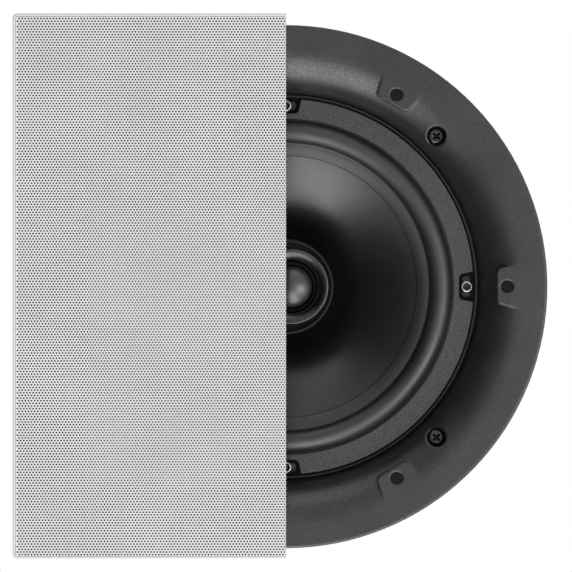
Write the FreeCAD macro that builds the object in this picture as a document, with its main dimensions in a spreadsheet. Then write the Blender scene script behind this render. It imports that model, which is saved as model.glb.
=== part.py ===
# Round ceiling speaker with a square magnetic grille. Millimetres, +Z up, as it hangs in a ceiling:
# the origin is on the axis, in the plane of the ceiling's face, the front looks down and the works
# reach up into the void. The grille is a cutaway: it stops at a line across the middle.
import FreeCAD, Part
import math
import os
import re
import Sketcher
from FreeCAD import Placement, Rotation, Vector

parts = []

# Driving sizes are numbers, and formulas of other sizes start with an equals sign
measures = {
    # Bezel: flange, flare, pocket for the driver and barrel that goes through the ceiling board
    "rim_width": 11.3,  # flat rim of the flange
    "flange_thickness": 4.5,  # ceiling's face to the front of the flange
    "flange_skin": 2.5,  # plate in front of the recess in the flange's back
    "flange_lip": 3,  # width of the outer lip that meets the ceiling
    "flange_edge": 0.9,  # rounding of the flange's front edge
    "recess_shift": 1.7,  # recess behind the flange starts this far inside the flat rim
    "basket_radius": 88.2,  # outside of the driver's rim, which sets the radii round it
    "basket_gap": 0.8,  # driver's rim to the pocket
    "flare_width": 19.7,  # small end of the flare to the flat rim
    "flare_depth": 16.5,  # front of the flange to the small end of the flare
    "bezel_wall": 2.5,  # wall of the flare and of the pocket
    "barrel_inset": 4.7,  # flat rim to the outside of the barrel
    "barrel_wall": 2.2,  # wall of the barrel
    "board_thickest": 36,  # thickest board that the dogs reach round
    "board_thinnest": 12,  # thinnest board that the dogs are drawn to
    "barrel_short": 2,  # end of the barrel to the back of the thinnest board
    "pocket_depth": 2.5,  # small end of the flare to the driver's seat
    "ledge_thickness": 3,  # ledge that the driver is screwed to
    "ledge_gap": 1,  # ledge to the driver's wall
    "rib_count": 24,  # ribs in the recess behind the flange
    "rib_width": 1.6,  # width of such a rib
    "throat_radius": "=basket_radius + basket_gap",  # small end of the flare
    "rim_inner_radius": "=throat_radius + flare_width",  # where the flat rim turns into the flare
    "flange_radius": "=rim_inner_radius + rim_width",  # outer radius of the flange
    # outside of the barrel, a little under the hole in the board
    "barrel_radius": "=rim_inner_radius - barrel_inset",
    "throat_z": "=flare_depth - flange_thickness",  # height of the flare's small end
    "seat_z": "=throat_z + pocket_depth",  # height of the driver's seat
    "barrel_inner": "=barrel_radius - barrel_wall",  # inside of the barrel
    "barrel_height": "=board_thinnest - barrel_short",  # barrel behind the ceiling's face
    "wall_radius": "=throat_radius + bezel_wall",  # outside of the pocket's wall
    "recess_inner": "=rim_inner_radius - recess_shift",  # inner edge of the recess behind the flange
    # bow of the flare's section, which leaves the flat rim without an edge
    "flare_radius": "=(flare_width ^ 2 + flare_depth ^ 2) / 2 / flare_depth",
    "bow_z": "=flare_radius - flange_thickness",  # height of the bow's centre, over the edge of the flat rim
    "back_bow": "=flare_radius - bezel_wall",  # bow of the flare's back
    # flare's back at the barrel
    "bow_at_barrel": "=bow_z - sqrt(back_bow ^ 2 - (rim_inner_radius - barrel_inner) ^ 2)",
    # flare's back at the pocket
    "bow_at_wall": "=bow_z - sqrt(back_bow ^ 2 - (rim_inner_radius - wall_radius) ^ 2)",

    # Magnet pads: flat islands level with the rim that stand over the flare
    "pad_count": 6,  # magnet pads
    "pad_length": 11.9,  # flat rim to the inner edge of a pad
    "pad_inner_width": 17,  # width of a pad at its inner edge
    "pad_outer_width": 21.4,  # width of a pad at the flat rim
    "pad_corner": 2.6,  # rounding of a pad's inner corners
    "pad_depth": 6.4,  # front of a pad to its back
    "grille_magnet_radius": 2.8,  # disc that holds the grille
    "grille_magnet_height": 3.6,  # height of that disc
    "grille_magnet_recess": 0.4,  # disc below the face of its pad
    "magnet_inset": 4.7,  # inner edge of a pad to the middle of its disc
    "magnet_fit": 0.1,  # gap round a disc in its pocket
    "pad_inner_radius": "=rim_inner_radius - pad_length",  # inner edge of a pad
    "grille_magnet_circle": "=pad_inner_radius + magnet_inset",  # distance of the discs from the axis

    # Clamps: a screw from the front turns a dog out and draws it to the back of the board
    "clamp_count": 4,  # clamps
    "clamp_first_angle": 45,  # angle of the first clamp
    "clamp_inset": 8.9,  # small end of the flare to a clamp screw's axis
    "clamp_recess_radius": 4.35,  # round recess for a clamp screw's head
    "clamp_seat": 5,  # ceiling's face to the seat of that head
    "clamp_boss_wall": 1.6,  # wall round the recess
    "clamp_floor": 3,  # floor of the recess
    "clamp_head_radius": 3.8,  # clamp screw's head
    "clamp_head_height": 2.6,  # height of that head
    "clamp_head_edge": 1.3,  # rounding of that head
    "clamp_shank_radius": 2,  # clamp screw's shank
    "shank_fit": 0.2,  # gap round a shank in its hole
    "head_gap": 0.1,  # gap under a head that turns
    "cross_length": 4,  # cross recess, tip to tip
    "cross_width": 1.1,  # width of a wing of the cross
    "cross_depth": 1.5,  # depth of the cross
    "dog_hub_radius": 5,  # hub of a dog
    "dog_hub_height": 10,  # height of the hub
    "dog_reach": 21,  # screw's axis to the tip of a dog
    "dog_width": 9,  # width of a dog's arm
    "dog_arm": 6,  # height of the arm at the hub
    "dog_tip": 6.5,  # height of the foot at the tip
    "dog_step": 3.5,  # foot below the arm
    "dog_foot": 5.5,  # length of the foot
    "dog_fit": 0.15,  # gap round the screw in a dog
    "dog_stowed": -95,  # angle of a stowed dog from straight out
    "screw_over": 3,  # screw past a dog at its far end
    "tower_gap": 1.3,  # hub to the guide that stands round it
    "tower_wall": 2.2,  # wall of that guide
    "tower_from": 62,  # angle where the guide starts, which stops a dog that is out
    "tower_to": 188,  # angle where the guide ends
    "clamp_circle": "=throat_radius + clamp_inset",  # distance of the clamp screws from the axis
    "boss_radius": "=clamp_recess_radius + clamp_boss_wall",  # outside of the boss round the recess
    "tower_inner": "=dog_hub_radius + tower_gap",  # inside of the guide
    "tower_outer": "=tower_inner + tower_wall",  # outside of the guide
    "screw_end": "=board_thickest + dog_hub_height + screw_over",  # height of a clamp screw's end

    # Driver: basket, surround, cone, spider and coil
    "basket_flange": 11.6,  # edge of the driver's rim to the surround's roll
    "roll_width": 10.3,  # width of the roll
    "roll_height": 4.9,  # height of the roll
    "surround_thickness": 0.7,  # rubber
    "surround_flange": 2.9,  # glued edge outside the roll
    "surround_lip": 6,  # glued edge inside the roll
    "edge_fall": 1.75,  # fall of that edge towards the middle, as the cone under it
    "trim_gap": 0.7,  # roll to the trim ring
    "trim_thickness": 2,  # trim ring over the surround's edge
    "trim_reveal": 1.5,  # basket's rim seen round the trim ring
    "trim_edge": 0.5,  # rounding of the trim ring's front edges
    "notch_depth": 3.6,  # bottom of a notch in the trim ring to the screw's axis
    "notch_width": 12.4,  # width of a notch at its bottom
    "notch_mouth": 14.6,  # width of a notch at the ring's edge
    "notch_corner": 2.4,  # rounding in a notch
    "driver_screw_count": 4,  # screws that hold the driver
    "screw_inset": 4.8,  # edge of the driver's rim to these screws
    "driver_head_radius": 2.65,  # head of such a screw
    "driver_head_height": 3,  # height of that head
    "driver_head_edge": 0.6,  # rounding of that head
    "driver_socket": 3.4,  # six-sided socket, across its flats
    "socket_depth": 1.6,  # depth of the socket
    "driver_shank_radius": 1.75,  # shank of such a screw
    "driver_shank_length": 11,  # length under the head
    "driver_boss_radius": 4,  # boss behind the ledge for such a screw
    "driver_boss_height": 8,  # height of that boss
    "pilot_fit": 0.05,  # gap round the shank in its boss
    "pilot_spare": 0.8,  # hole past the end of the shank
    "mouth_gap": 0.4,  # roll to the basket's mouth
    "basket_rim": 2,  # thickness of the basket's rim
    "basket_lip": 0.8,  # thickness of the turned-up edge of the rim
    "lip_height": 1.6,  # height of that edge
    "slot_length": 9.6,  # slot for a driver screw, along the rim
    "basket_wall": 1.6,  # thickness of the basket's wall
    "spider_depth": 33,  # front of the basket to the spider's seat
    "spider_seat_width": 7,  # width of that seat
    "spider_inset": 22.2,  # roll to the outside of the spider
    "cup_taper": 1.6,  # how much the basket's cup narrows to its floor
    "cone_travel": 4,  # travel of the cone each way
    "spider_room": 4.5,  # spider's seat to the basket's floor, beyond the travel
    "window_count": 6,  # windows in the basket
    "window_angle": 42,  # width of a window, in degrees
    "window_margin": 3.2,  # rim, or spider's seat, to a window
    "window_corner": 4,  # rounding of a window's corners
    "cone_thickness": 0.8,  # cone's sheet
    "cone_depth": 25,  # edge of the cone to its neck
    "cone_bow": 92,  # bow of the cone's section
    "neck_height": 3.5,  # collar that the cone is glued to the former by
    "former_radius": 19.4,  # outside of the coil's former
    "former_wall": 0.4,  # former's paper
    "former_lead": 2.5,  # former in front of the cone's neck
    "winding_thickness": 0.8,  # coil's wire
    "winding_height": 12,  # height of the winding
    "coil_gap": 0.7,  # winding, or former, to the steel beside it
    "glue_gap": 0.1,  # glue line
    "spider_thickness": 0.7,  # spider's cloth
    "spider_waves": 5,  # rolls of the spider
    "spider_wave": 1.5,  # height of a roll of the spider
    # front of the basket to the back of its floor
    "basket_depth": "=spider_depth + cone_travel + spider_room + basket_wall",
    "roll_outer_radius": "=basket_radius - basket_flange",  # outer foot of the surround's roll
    "roll_inner_radius": "=roll_outer_radius - roll_width",  # inner foot of the roll
    "driver_screw_circle": "=basket_radius - screw_inset",  # distance of these screws from the axis
    "slot_half": "=driver_shank_radius + shank_fit",  # half the width of a slot for such a screw
    "slot_corner": "=slot_half * 4 / 5",  # rounding of the slot's corners
    "notch_radius": "=driver_screw_circle - notch_depth",  # bottom of a notch in the trim ring
    "spider_radius": "=roll_outer_radius - spider_inset",  # outside of the spider
    "mouth_radius": "=roll_outer_radius + mouth_gap",  # inside of the basket's rim
    "shoulder_radius": "=mouth_radius + basket_wall",  # outside of the basket's wall under the rim
    "ledge_inner": "=shoulder_radius + ledge_gap",  # inside of the ledge
    "rim_z": "=seat_z - basket_rim",  # front of the basket's rim
    "roll_z": "=rim_z - surround_thickness",  # front of the surround's glued edge
    "trim_z": "=roll_z - trim_thickness",  # front of the trim ring
    "trim_inner": "=roll_outer_radius + trim_gap",  # inside of the trim ring
    "trim_outer": "=basket_radius - trim_reveal",  # outside of the trim ring
    "surround_outer": "=roll_outer_radius + surround_flange",  # outside of the surround
    "lip_inner": "=roll_inner_radius - surround_lip",  # inside of the surround
    "roll_half": "=roll_width / 2",  # half the width of the roll
    "roll_bow": "=(roll_half ^ 2 + roll_height ^ 2) / 2 / roll_height",  # bow of the roll's face
    "inner_half": "=roll_half - surround_thickness",  # half the width inside the roll
    "inner_rise": "=roll_height - surround_thickness",  # height inside the roll
    "inner_bow": "=(inner_half ^ 2 + inner_rise ^ 2) / 2 / inner_rise",  # bow of the roll's back
    "spider_z": "=rim_z + spider_depth",  # front of the spider's seat
    "floor_z": "=rim_z + basket_depth",  # back of the basket's floor
    "spider_inner": "=spider_radius + glue_gap - spider_seat_width",  # inside of the spider's seat
    "well_radius": "=spider_radius + glue_gap",  # basket's wall at the spider
    "cup_radius": "=spider_inner - cup_taper",  # inside of the basket's cup at its floor
    "neck_radius": "=former_radius + glue_gap",  # inside of the cone's neck
    "neck_z": "=rim_z + cone_depth",  # front of the cone's neck
    "bow_start": "=rim_z + edge_fall",  # height where the cone's bow starts, at the surround's inside
    "window_inner": "=well_radius + basket_wall + window_margin",  # inner edge of a window
    "window_outer": "=mouth_radius - window_margin",  # outer edge of a window
    # rounding of a window's corners, as far as its wall leaves room
    "window_round": "=min(window_corner; (window_outer - window_inner) / 3)",

    # Motor: front plate, ferrite ring and the yoke whose pole stands inside the coil
    "plate_radius": 45,  # front plate, and the yoke's plate
    "plate_thickness": 6,  # front plate
    "ferrite_radius": 50,  # outside of the ferrite ring
    "ferrite_bore": 24.5,  # inside of the ferrite ring
    "ferrite_height": 14,  # height of the ferrite ring
    "ferrite_edge": 1.2,  # bevel of the ferrite ring
    "yoke_thickness": 6,  # yoke's plate
    "yoke_edge": 1.5,  # bevel of the yoke's back
    "pole_lead": 1,  # pole in front of the front plate
    "gap_radius": "=former_radius + winding_thickness + coil_gap",  # bore of the front plate
    "pole_radius": "=former_radius - former_wall - coil_gap",  # pole
    "ferrite_z": "=floor_z + plate_thickness",  # front of the ferrite ring
    "yoke_z": "=ferrite_z + ferrite_height",  # front of the yoke's plate
    "back_z": "=yoke_z + yoke_thickness",  # back of the motor
    "pole_z": "=floor_z - pole_lead",  # front of the pole
    "winding_z": "=floor_z + plate_thickness / 2 - winding_height / 2",  # front of the winding
    "former_z": "=neck_z - former_lead",  # front of the former
    "former_end": "=winding_z + winding_height",  # back of the former

    # Post and high-note unit in front of the cone
    "post_radius": 6,  # post through the pole
    "post_bore": 3.6,  # way for the wires in the post
    "post_fit": 0.1,  # gap round the post in the pole
    "shoulder_post": 11,  # shoulder that stands on the pole
    "post_over": 1,  # post past its nut
    "nut_flats": 17,  # nut across its flats
    "nut_height": 5,  # height of the nut
    "tweeter_radius": 22,  # outside of the small cup
    "tweeter_wall": 1.4,  # wall of the cup
    "tweeter_length": 15,  # length of the cup
    "tweeter_lead": 2.3,  # cup in front of the basket's rim
    "tweeter_round": 5,  # rounding of the cup's back
    "cup_edge": 0.6,  # rounding of the cup's front
    "face_gap": 3.4,  # cup to the face ring, where they share an axis
    "face_shift": 2.4,  # face ring and all it carries, to one side of the cup's axis
    "face_lead": 0.6,  # face ring in front of the cup
    "face_edge": 0.3,  # flat rim of the face ring
    "horn_radius": 12.2,  # small end of the face ring's slope
    "horn_depth": 3,  # depth of that slope
    "face_step": 2,  # height of the wall below the slope
    "dome_radius": 10,  # dome
    "dome_height": 4.8,  # height of the dome
    "dome_wall": 0.4,  # dome's cloth
    "dome_roll_height": 0.8,  # roll round the dome
    "dome_flange": 2.2,  # glued edge of the dome's roll
    "dome_coil_wall": 0.5,  # small coil
    "dome_coil_height": 4,  # height of the small coil
    "dome_gap": 0.3,  # small coil to the steel beside it
    "dome_plate": 1.6,  # plate on the small magnet
    "dome_magnet": 3,  # height of the small magnet
    "dome_yoke": 1.6,  # floor of the small yoke
    "tweeter_z": "=rim_z - tweeter_lead",  # front of the small cup
    "tweeter_back": "=tweeter_z + tweeter_length",  # back of the small cup
    "cup_bore": "=tweeter_radius - tweeter_wall",  # inside of the small cup
    "face_radius": "=cup_bore - face_gap",  # outside of the face ring
    "face_z": "=tweeter_z - face_lead",  # front of the face ring
    "skin_z": "=face_z + horn_depth + face_step",  # back of the face ring, where the dome is clamped
    "skin_radius": "=horn_radius + dome_flange",  # outside of the dome's skin
    "dome_bow": "=(dome_radius ^ 2 + dome_height ^ 2) / 2 / dome_height",  # bow of the dome
    "small_half": "=(horn_radius - dome_radius) / 2",  # half the width of the dome's roll
    "small_bow": "=(small_half ^ 2 + dome_roll_height ^ 2) / 2 / dome_roll_height",  # bow of that roll
    "skin_back": "=skin_z + dome_wall",  # back of the dome's skin
    "small_pole": "=dome_radius - dome_coil_wall - dome_gap",  # plate and magnet under the dome
    "small_bore": "=dome_radius + dome_gap",  # inside of the small yoke
    "small_floor": "=skin_back + dome_gap + dome_plate + dome_magnet",  # front of the small yoke's floor
    "small_back": "=small_floor + dome_yoke",  # back of the small yoke
    "post_front": "=tweeter_back",  # front of the post
    "post_end": "=back_z + nut_height + post_over",  # back of the post

    # Filter board in a tray on the motor, with push terminals
    "tray_fit": 0.2,  # yoke's plate to the tray's skirt
    "tray_skirt": 1.8,  # wall of the skirt
    "tray_grip": 4.5,  # skirt over the yoke's edge
    "tray_floor": 2,  # floor of the tray
    "nut_room": 1.5,  # nut to the hole in the tray
    "board_room": 1,  # post to the board
    "board_length": 70,  # board along X
    "board_width": 56,  # board along Y
    "board_sheet": 1.6,  # board
    "board_corner": 3,  # rounding of the board's corners
    "board_inset": 4.5,  # screw to the board's edges
    "board_boss": 3.4,  # boss under a corner of the board
    "board_shank": 1.25,  # shank of a board screw
    "board_head": 2.6,  # head of a board screw
    "board_head_height": 1.8,  # height of that head
    "board_screw_length": 7,  # length under that head
    "capacitor_radius": 6.5,  # film capacitor
    "capacitor_length": 24,  # length of the capacitor
    "capacitor_edge": 1.2,  # rounding of its ends
    "capacitor_x": 17,  # capacitor's middle along X
    "capacitor_y": 9.5,  # capacitor's middle along Y
    "lead_radius": 0.4,  # wire ends of the capacitor and of the resistor
    "lead_reach": 2,  # wire end out of a body before it turns to the board
    "coil_spool_radius": 12.5,  # flanges of the inductor's bobbin
    "coil_core_radius": 5,  # core of the bobbin
    "coil_core_bore": 2.4,  # hole in the core
    "coil_flange": 1.4,  # flanges of the bobbin
    "coil_height": 12,  # height of the bobbin
    "coil_wire_radius": 11.4,  # outside of the inductor's wire
    "coil_x": -17,  # inductor's middle along X
    "coil_y": 9.5,  # inductor's middle along Y
    "resistor_length": 22,  # cement resistor
    "resistor_width": 8,  # width of the resistor
    "resistor_height": 7.5,  # height of the resistor
    "resistor_x": 19,  # resistor's middle along X
    "resistor_y": -8,  # resistor's middle along Y
    "block_length": 28,  # terminal block along X
    "block_width": 18,  # terminal block along Y
    "block_height": 10,  # height of the terminal block
    "block_edge": 1,  # bevel of the block's top
    "block_x": -9,  # block's middle along X
    "block_y": -17.5,  # block's middle along Y
    "button_pitch": 13,  # between the two buttons
    "button_side": 7,  # side of a button
    "button_fit": 0.3,  # button to its pocket
    "button_stand": 3,  # button above the block
    "button_travel": 2.5,  # travel of a button
    "button_edge": 0.8,  # bevel of a button's top
    "pocket_floor": 1.5,  # floor under a button's pocket
    "spring_flat": 1.3,  # room for a leaf spring that is pressed flat
    "spring_leaf": 0.4,  # leaf of that spring
    "spring_width": 4.6,  # width of the leaf
    "wire_hole": 1.5,  # radius of the hole for a wire
    "spring_height": "=button_travel + spring_flat",  # leaf spring under a button
    "seat_gap": 0.1,  # gap under a part that stands on another
    "board_z": "=post_end + board_room",  # front of the board
    "board_top": "=board_z + board_sheet",  # back of the board, which carries its parts
    "tray_z": "=back_z + tray_floor",  # back of the tray's floor
    "tray_outer": "=plate_radius + tray_fit + tray_skirt",  # outside of the tray
    "tray_hole": "=nut_flats / sqrt(3) + nut_room",  # hole in the tray for the nut
    "screw_x": "=board_length / 2 - board_inset",  # board screw along X
    "screw_y": "=board_width / 2 - board_inset",  # board screw along Y
    "block_z": "=board_top + block_height",  # top of the terminal block
    "pocket_z": "=board_top + pocket_floor",  # bottom of a button's pocket
    "button_z": "=pocket_z + spring_height + seat_gap",  # bottom of a button

    # Grille: folded sheet with a cloth behind it, cut along one line
    "grille_over": 5.2,  # edge of the flange to the grille's side
    "grille_sheet": 0.8,  # grille's sheet
    "grille_fold": 5.2,  # depth of the folded edge
    "grille_corner": 2.2,  # rounding of the grille's corners
    "grille_cut": 0.1,  # line where the cutaway grille stops, from the axis; half the side leaves it whole
    "scrim_thickness": 0.4,  # cloth
    "scrim_inset": 0.6,  # fold to the edge of the cloth
    "hole_flats": 10,  # six-sided hole, across its flats
    "hole_pitch": 16.5,  # between holes in a row
    "hole_border": 4,  # fold to the field of holes
    "grille_half": "=flange_radius + grille_over",  # half the side of the square grille
    "cloth_z": "=-flange_thickness - scrim_thickness",  # front of the cloth
    "grille_z": "=cloth_z - grille_sheet",  # front of the grille
    "tray_half": "=grille_half - grille_sheet",  # half the side inside the fold
}

document = FreeCAD.newDocument("ceiling_speaker")
sizes = document.addObject("Spreadsheet::Sheet", "sizes")
for row, (alias, amount) in enumerate(measures.items(), 1):
    sizes.set(f"A{row}", alias.replace("_", " "))
    sizes.set(f"B{row}", str(amount))
    sizes.setAlias(f"B{row}", alias)
document.recompute()


def bound(expression):
    """The expression with the sheet's name in front of each of its aliases."""
    named = "|".join(measures)
    return re.sub(rf"\b({named})\b", r"sizes.\1", expression)


def value(expression):
    """What an expression of the sheet comes to, as a number."""
    return float(sizes.evalExpression(bound(expression)))


def new_body(label):
    """An empty body that becomes one piece of the speaker."""
    body = document.addObject("PartDesign::Body", label)
    body.Label = label
    parts.append(body)
    return body


def sketch_on(body, name, role, level="0", turn="0"):
    """A sketch on one of the body's own planes, lifted to a level and turned about the plane's normal."""
    sketch = body.newObject("Sketcher::SketchObject", name)
    plane = next(item for item in body.Origin.OriginFeatures if item.Role == role)
    sketch.AttachmentSupport = (plane, [""])
    sketch.MapMode = "FlatFace"
    if level != "0":
        sketch.setExpression("AttachmentOffset.Base.z", bound(level))
    if turn != "0":
        sketch.setExpression("AttachmentOffset.Rotation.Angle", bound(turn))
    return sketch


def hold(sketch, constraints):
    """Adds constraints, each (kind, places, expression), and ties their values to the sheet."""
    made = [Sketcher.Constraint(kind, *places, value(text)) for kind, places, text in constraints]
    for index, (_, _, text) in zip(sketch.addConstraint(made), constraints):
        sketch.setExpression(f"Constraints[{index}]", bound(text))


def at_point(sketch, edge, end, across, along):
    """The constraints that hold one point of an edge; a plain 0 puts it on the axis."""
    held = []
    for kind, text, axis in (("DistanceX", across, -2), ("DistanceY", along, -1)):
        if text == "0":
            sketch.addConstraint(Sketcher.Constraint("PointOnObject", edge, end, axis))
        else:
            held.append((kind, (-1, 1, edge, end), text))
    return held


def arc_middle(start, end, radius, side):
    """The middle of the short arc between two points, with its centre on the given side of the way."""
    chord = end - start
    left = Vector(-chord.y, chord.x, 0).normalize()
    sag = radius - math.sqrt(max(radius ** 2 - chord.Length ** 2 / 4, 0))
    return (start + end) / 2 - left * side * sag


def outline(sketch, corners):
    """Draws a closed outline and holds each corner where its two expressions say.

    A corner of four entries bends the edge that arrives at it: the third is the radius, and the
    fourth is 1 where the arc's centre is on the left of the way and -1 where it is on the right.
    """
    points = [Vector(value(corner[0]), value(corner[1]), 0) for corner in corners]
    edges = []
    held = []
    for number, corner in enumerate(corners):
        start, end = points[number - 1], points[number]
        if len(corner) == 2:
            edges.append((sketch.addGeometry(Part.LineSegment(start, end)), 1, 2))
            continue
        radius, side = corner[2], corner[3]
        middle = arc_middle(start, end, value(radius), side)
        if side > 0:
            edges.append((sketch.addGeometry(Part.Arc(start, middle, end)), 1, 2))
        else:
            edges.append((sketch.addGeometry(Part.Arc(end, middle, start)), 2, 1))
        held.append(("Radius", (edges[-1][0],), radius))
    for number, (edge, first, last) in enumerate(edges):
        following = edges[(number + 1) % len(edges)]
        sketch.addConstraint(Sketcher.Constraint("Coincident", edge, last, following[0], following[1]))
        held += at_point(sketch, edge, last, corners[number][0], corners[number][1])
    hold(sketch, held)


def circle(sketch, across, along, radius):
    """Draws a circle and holds its centre and its radius."""
    middle = Vector(value(across), value(along), 0)
    edge = sketch.addGeometry(Part.Circle(middle, Vector(0, 0, 1), value(radius)))
    hold(sketch, [("Radius", (edge,), radius)] + at_point(sketch, edge, 3, across, along))


def polygon(flats, sides=6):
    """The corners of a regular outline about the origin, given the width across its flats."""
    step = 360 / sides
    reach = f"{flats} / 2 / cos({step / 2})"
    turns = [step * (n + 0.5) for n in range(sides)]
    return [(f"{reach} * cos({turn})", f"{reach} * sin({turn})") for turn in turns]


def box_corners(left, right, low, high):
    """The corners of a rectangle."""
    return [(left, low), (right, low), (right, high), (left, high)]


def rounded_box(left, right, low, high, radius):
    """The corners of a rectangle with round corners."""
    return [
        (f"{left} + {radius}", low), (f"{right} - {radius}", low),
        (right, f"{low} + {radius}", radius, 1), (right, f"{high} - {radius}"),
        (f"{right} - {radius}", high, radius, 1), (f"{left} + {radius}", high),
        (left, f"{high} - {radius}", radius, 1), (left, f"{low} + {radius}"),
        (f"{left} + {radius}", low, radius, 1),
    ][1:]


def rounded_sector(inner, outer, half_angle, corner):
    """The corners of a part of a ring, about the X direction, with round corners."""
    ends = []
    for radius, centre in ((outer, f"({outer} - {corner})"), (inner, f"({inner} + {corner})")):
        along_side = f"sqrt({centre} ^ 2 - {corner} ^ 2)"
        on_side = (f"{along_side} * cos({half_angle})", f"{along_side} * sin({half_angle})")
        middle_x = f"({on_side[0]} + {corner} * sin({half_angle}))"
        middle_y = f"({on_side[1]} - {corner} * cos({half_angle}))"
        ends.append(((f"{middle_x} * {radius} / {centre}", f"{middle_y} * {radius} / {centre}"), on_side))
    (outer_end, outer_side), (inner_end, inner_side) = ends

    def mirrored(point):
        return point[0], f"-({point[1]})"

    return [
        (*mirrored(outer_end), corner, 1), (*outer_end, outer, 1), (*outer_side, corner, 1), inner_side,
        (*inner_end, corner, 1), (*mirrored(inner_end), inner, -1), (*mirrored(inner_side), corner, 1),
        mirrored(outer_side),
    ]


def revolved(body, name, corners, kind="Revolution"):
    """Turns a section of (radius, height) corners about the axis; kind Groove cuts instead of adding."""
    sketch = sketch_on(body, name + "_section", "XZ_Plane")
    outline(sketch, corners)
    feature = body.newObject("PartDesign::" + kind, name)
    feature.Profile = sketch
    feature.ReferenceAxis = (sketch, ["V_Axis"])
    feature.Angle = 360
    return feature


def extruded(body, name, sketch, length, kind="Pad", upward=True, both_ways=False):
    """Pads or pockets a sketch by a length, along or against its normal."""
    feature = body.newObject("PartDesign::" + kind, name)
    feature.Profile = sketch
    feature.setExpression("Length", bound(length))
    feature.Reversed = upward if kind == "Pocket" else not upward
    if both_ways:
        feature.SideType = "Symmetric"
    return feature


def round_bar(body, name, across, along, radius, level, length, kind="Pad", turn="0"):
    """A round boss, or with kind Pocket a round hole, that goes up from a level."""
    sketch = sketch_on(body, name + "_circle", "XY_Plane", level, turn)
    circle(sketch, across, along, radius)
    return extruded(body, name, sketch, length, kind)


def around(body, name, features, count):
    """Repeats features evenly about the axis."""
    pattern = body.newObject("PartDesign::PolarPattern", name)
    pattern.Originals = features
    pattern.Axis = (features[0].Profile[0], ["N_Axis"])
    pattern.Angle = 360
    pattern.setExpression("Occurrences", bound(count))
    body.Tip = pattern


def softened(body, name, chosen, amount, kind="Fillet"):
    """Rounds or bevels those edges of the body so far that the test chooses."""
    document.recompute()
    base = body.Tip
    names = [f"Edge{n + 1}" for n, edge in enumerate(base.Shape.Edges) if chosen(edge)]
    feature = body.newObject("PartDesign::" + kind, name)
    feature.Base = (base, names)
    feature.setExpression("Radius" if kind == "Fillet" else "Size", bound(amount))
    body.Tip = feature


def set_about(body, circle_radius, angle, height="0", turn="0"):
    """Puts a body on a circle about the axis, at an angle, and turns it on its own axis too."""
    body.setExpression("Placement.Base.x", bound(f"({circle_radius}) * cos({angle})"))
    body.setExpression("Placement.Base.y", bound(f"({circle_radius}) * sin({angle})"))
    body.setExpression("Placement.Base.z", bound(height))
    body.setExpression("Placement.Rotation.Angle", bound(f"{angle} + ({turn})"))


def grouped(label, pattern_body, spots):
    """One piece of several like solids, each a copy of a body at one of the spots."""
    parts.remove(pattern_body)
    document.recompute()
    group = document.addObject("Part::Feature", label)
    group.Label = label
    copies = []
    for spot in spots:
        copy = pattern_body.Shape.copy()
        copy.Placement = spot.multiply(copy.Placement)
        copies.append(copy)
    group.Shape = Part.makeCompound(copies)
    parts.append(group)


def ring_spots(count, radius, first_angle="0"):
    """Places spread evenly on a circle about the axis."""
    number = round(value(count))
    turns = [value(first_angle) + 360 * n / number for n in range(number)]
    reach = Placement(Vector(value(radius), 0, 0), Rotation())
    return [Placement(Vector(), Rotation(Vector(0, 0, 1), turn)).multiply(reach) for turn in turns]


# Bezel: the blank has its mouth and its back filled, so that the bosses which stand in the wall are
# cut flush with the flare by the same groove that makes it
bezel = new_body("bezel_frame")
revolved(bezel, "bezel_blank", [
    ("ledge_inner", "-flange_thickness"),
    ("flange_radius - flange_edge", "-flange_thickness"),
    ("flange_radius", "flange_edge - flange_thickness", "flange_edge", 1),
    ("flange_radius", "barrel_height"),
    ("barrel_inner", "barrel_height"),
    ("barrel_inner", "bow_at_barrel"),
    ("wall_radius", "bow_at_wall", "back_bow", -1),
    ("wall_radius", "seat_z + ledge_thickness"),
    ("ledge_inner", "seat_z + ledge_thickness"),
])
clamp_boss = round_bar(bezel, "clamp_boss", "clamp_circle", "0", "boss_radius", "0",
                       "clamp_seat + clamp_floor", turn="clamp_first_angle")
tower_sketch = sketch_on(bezel, "clamp_tower_outline", "XY_Plane", "clamp_seat", "clamp_first_angle")
outline(tower_sketch, [
    ("clamp_circle + tower_outer * cos(tower_from)", "tower_outer * sin(tower_from)"),
    ("clamp_circle + tower_outer * cos(tower_to)", "tower_outer * sin(tower_to)", "tower_outer", 1),
    ("clamp_circle + tower_inner * cos(tower_to)", "tower_inner * sin(tower_to)"),
    ("clamp_circle + tower_inner * cos(tower_from)", "tower_inner * sin(tower_from)", "tower_inner", -1),
])
clamp_tower = extruded(bezel, "clamp_tower", tower_sketch, "board_thickest - clamp_seat")
around(bezel, "clamp_stations", [clamp_boss, clamp_tower], "clamp_count")
revolved(bezel, "bezel_mouth", [
    ("ledge_inner - ledge_gap", "-flange_thickness - flange_edge"),
    ("rim_inner_radius", "-flange_thickness - flange_edge"),
    ("rim_inner_radius", "-flange_thickness"),
    ("throat_radius", "throat_z", "flare_radius", -1),
    ("throat_radius", "seat_z"),
    ("ledge_inner - ledge_gap", "seat_z"),
], "Groove")
pad_sketch = sketch_on(bezel, "magnet_pad_outline", "XY_Plane", "-flange_thickness")
outline(pad_sketch, [
    ("rim_inner_radius + flange_edge", "-pad_outer_width / 2"),
    ("rim_inner_radius + flange_edge", "pad_outer_width / 2"),
    ("pad_inner_radius + pad_corner", "pad_inner_width / 2"),
    ("pad_inner_radius", "pad_inner_width / 2 - pad_corner", "pad_corner", 1),
    ("pad_inner_radius", "pad_corner - pad_inner_width / 2"),
    ("pad_inner_radius + pad_corner", "-pad_inner_width / 2", "pad_corner", 1),
])
magnet_pad = extruded(bezel, "magnet_pad", pad_sketch, "pad_depth")
around(bezel, "magnet_pads", [magnet_pad], "pad_count")
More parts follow.
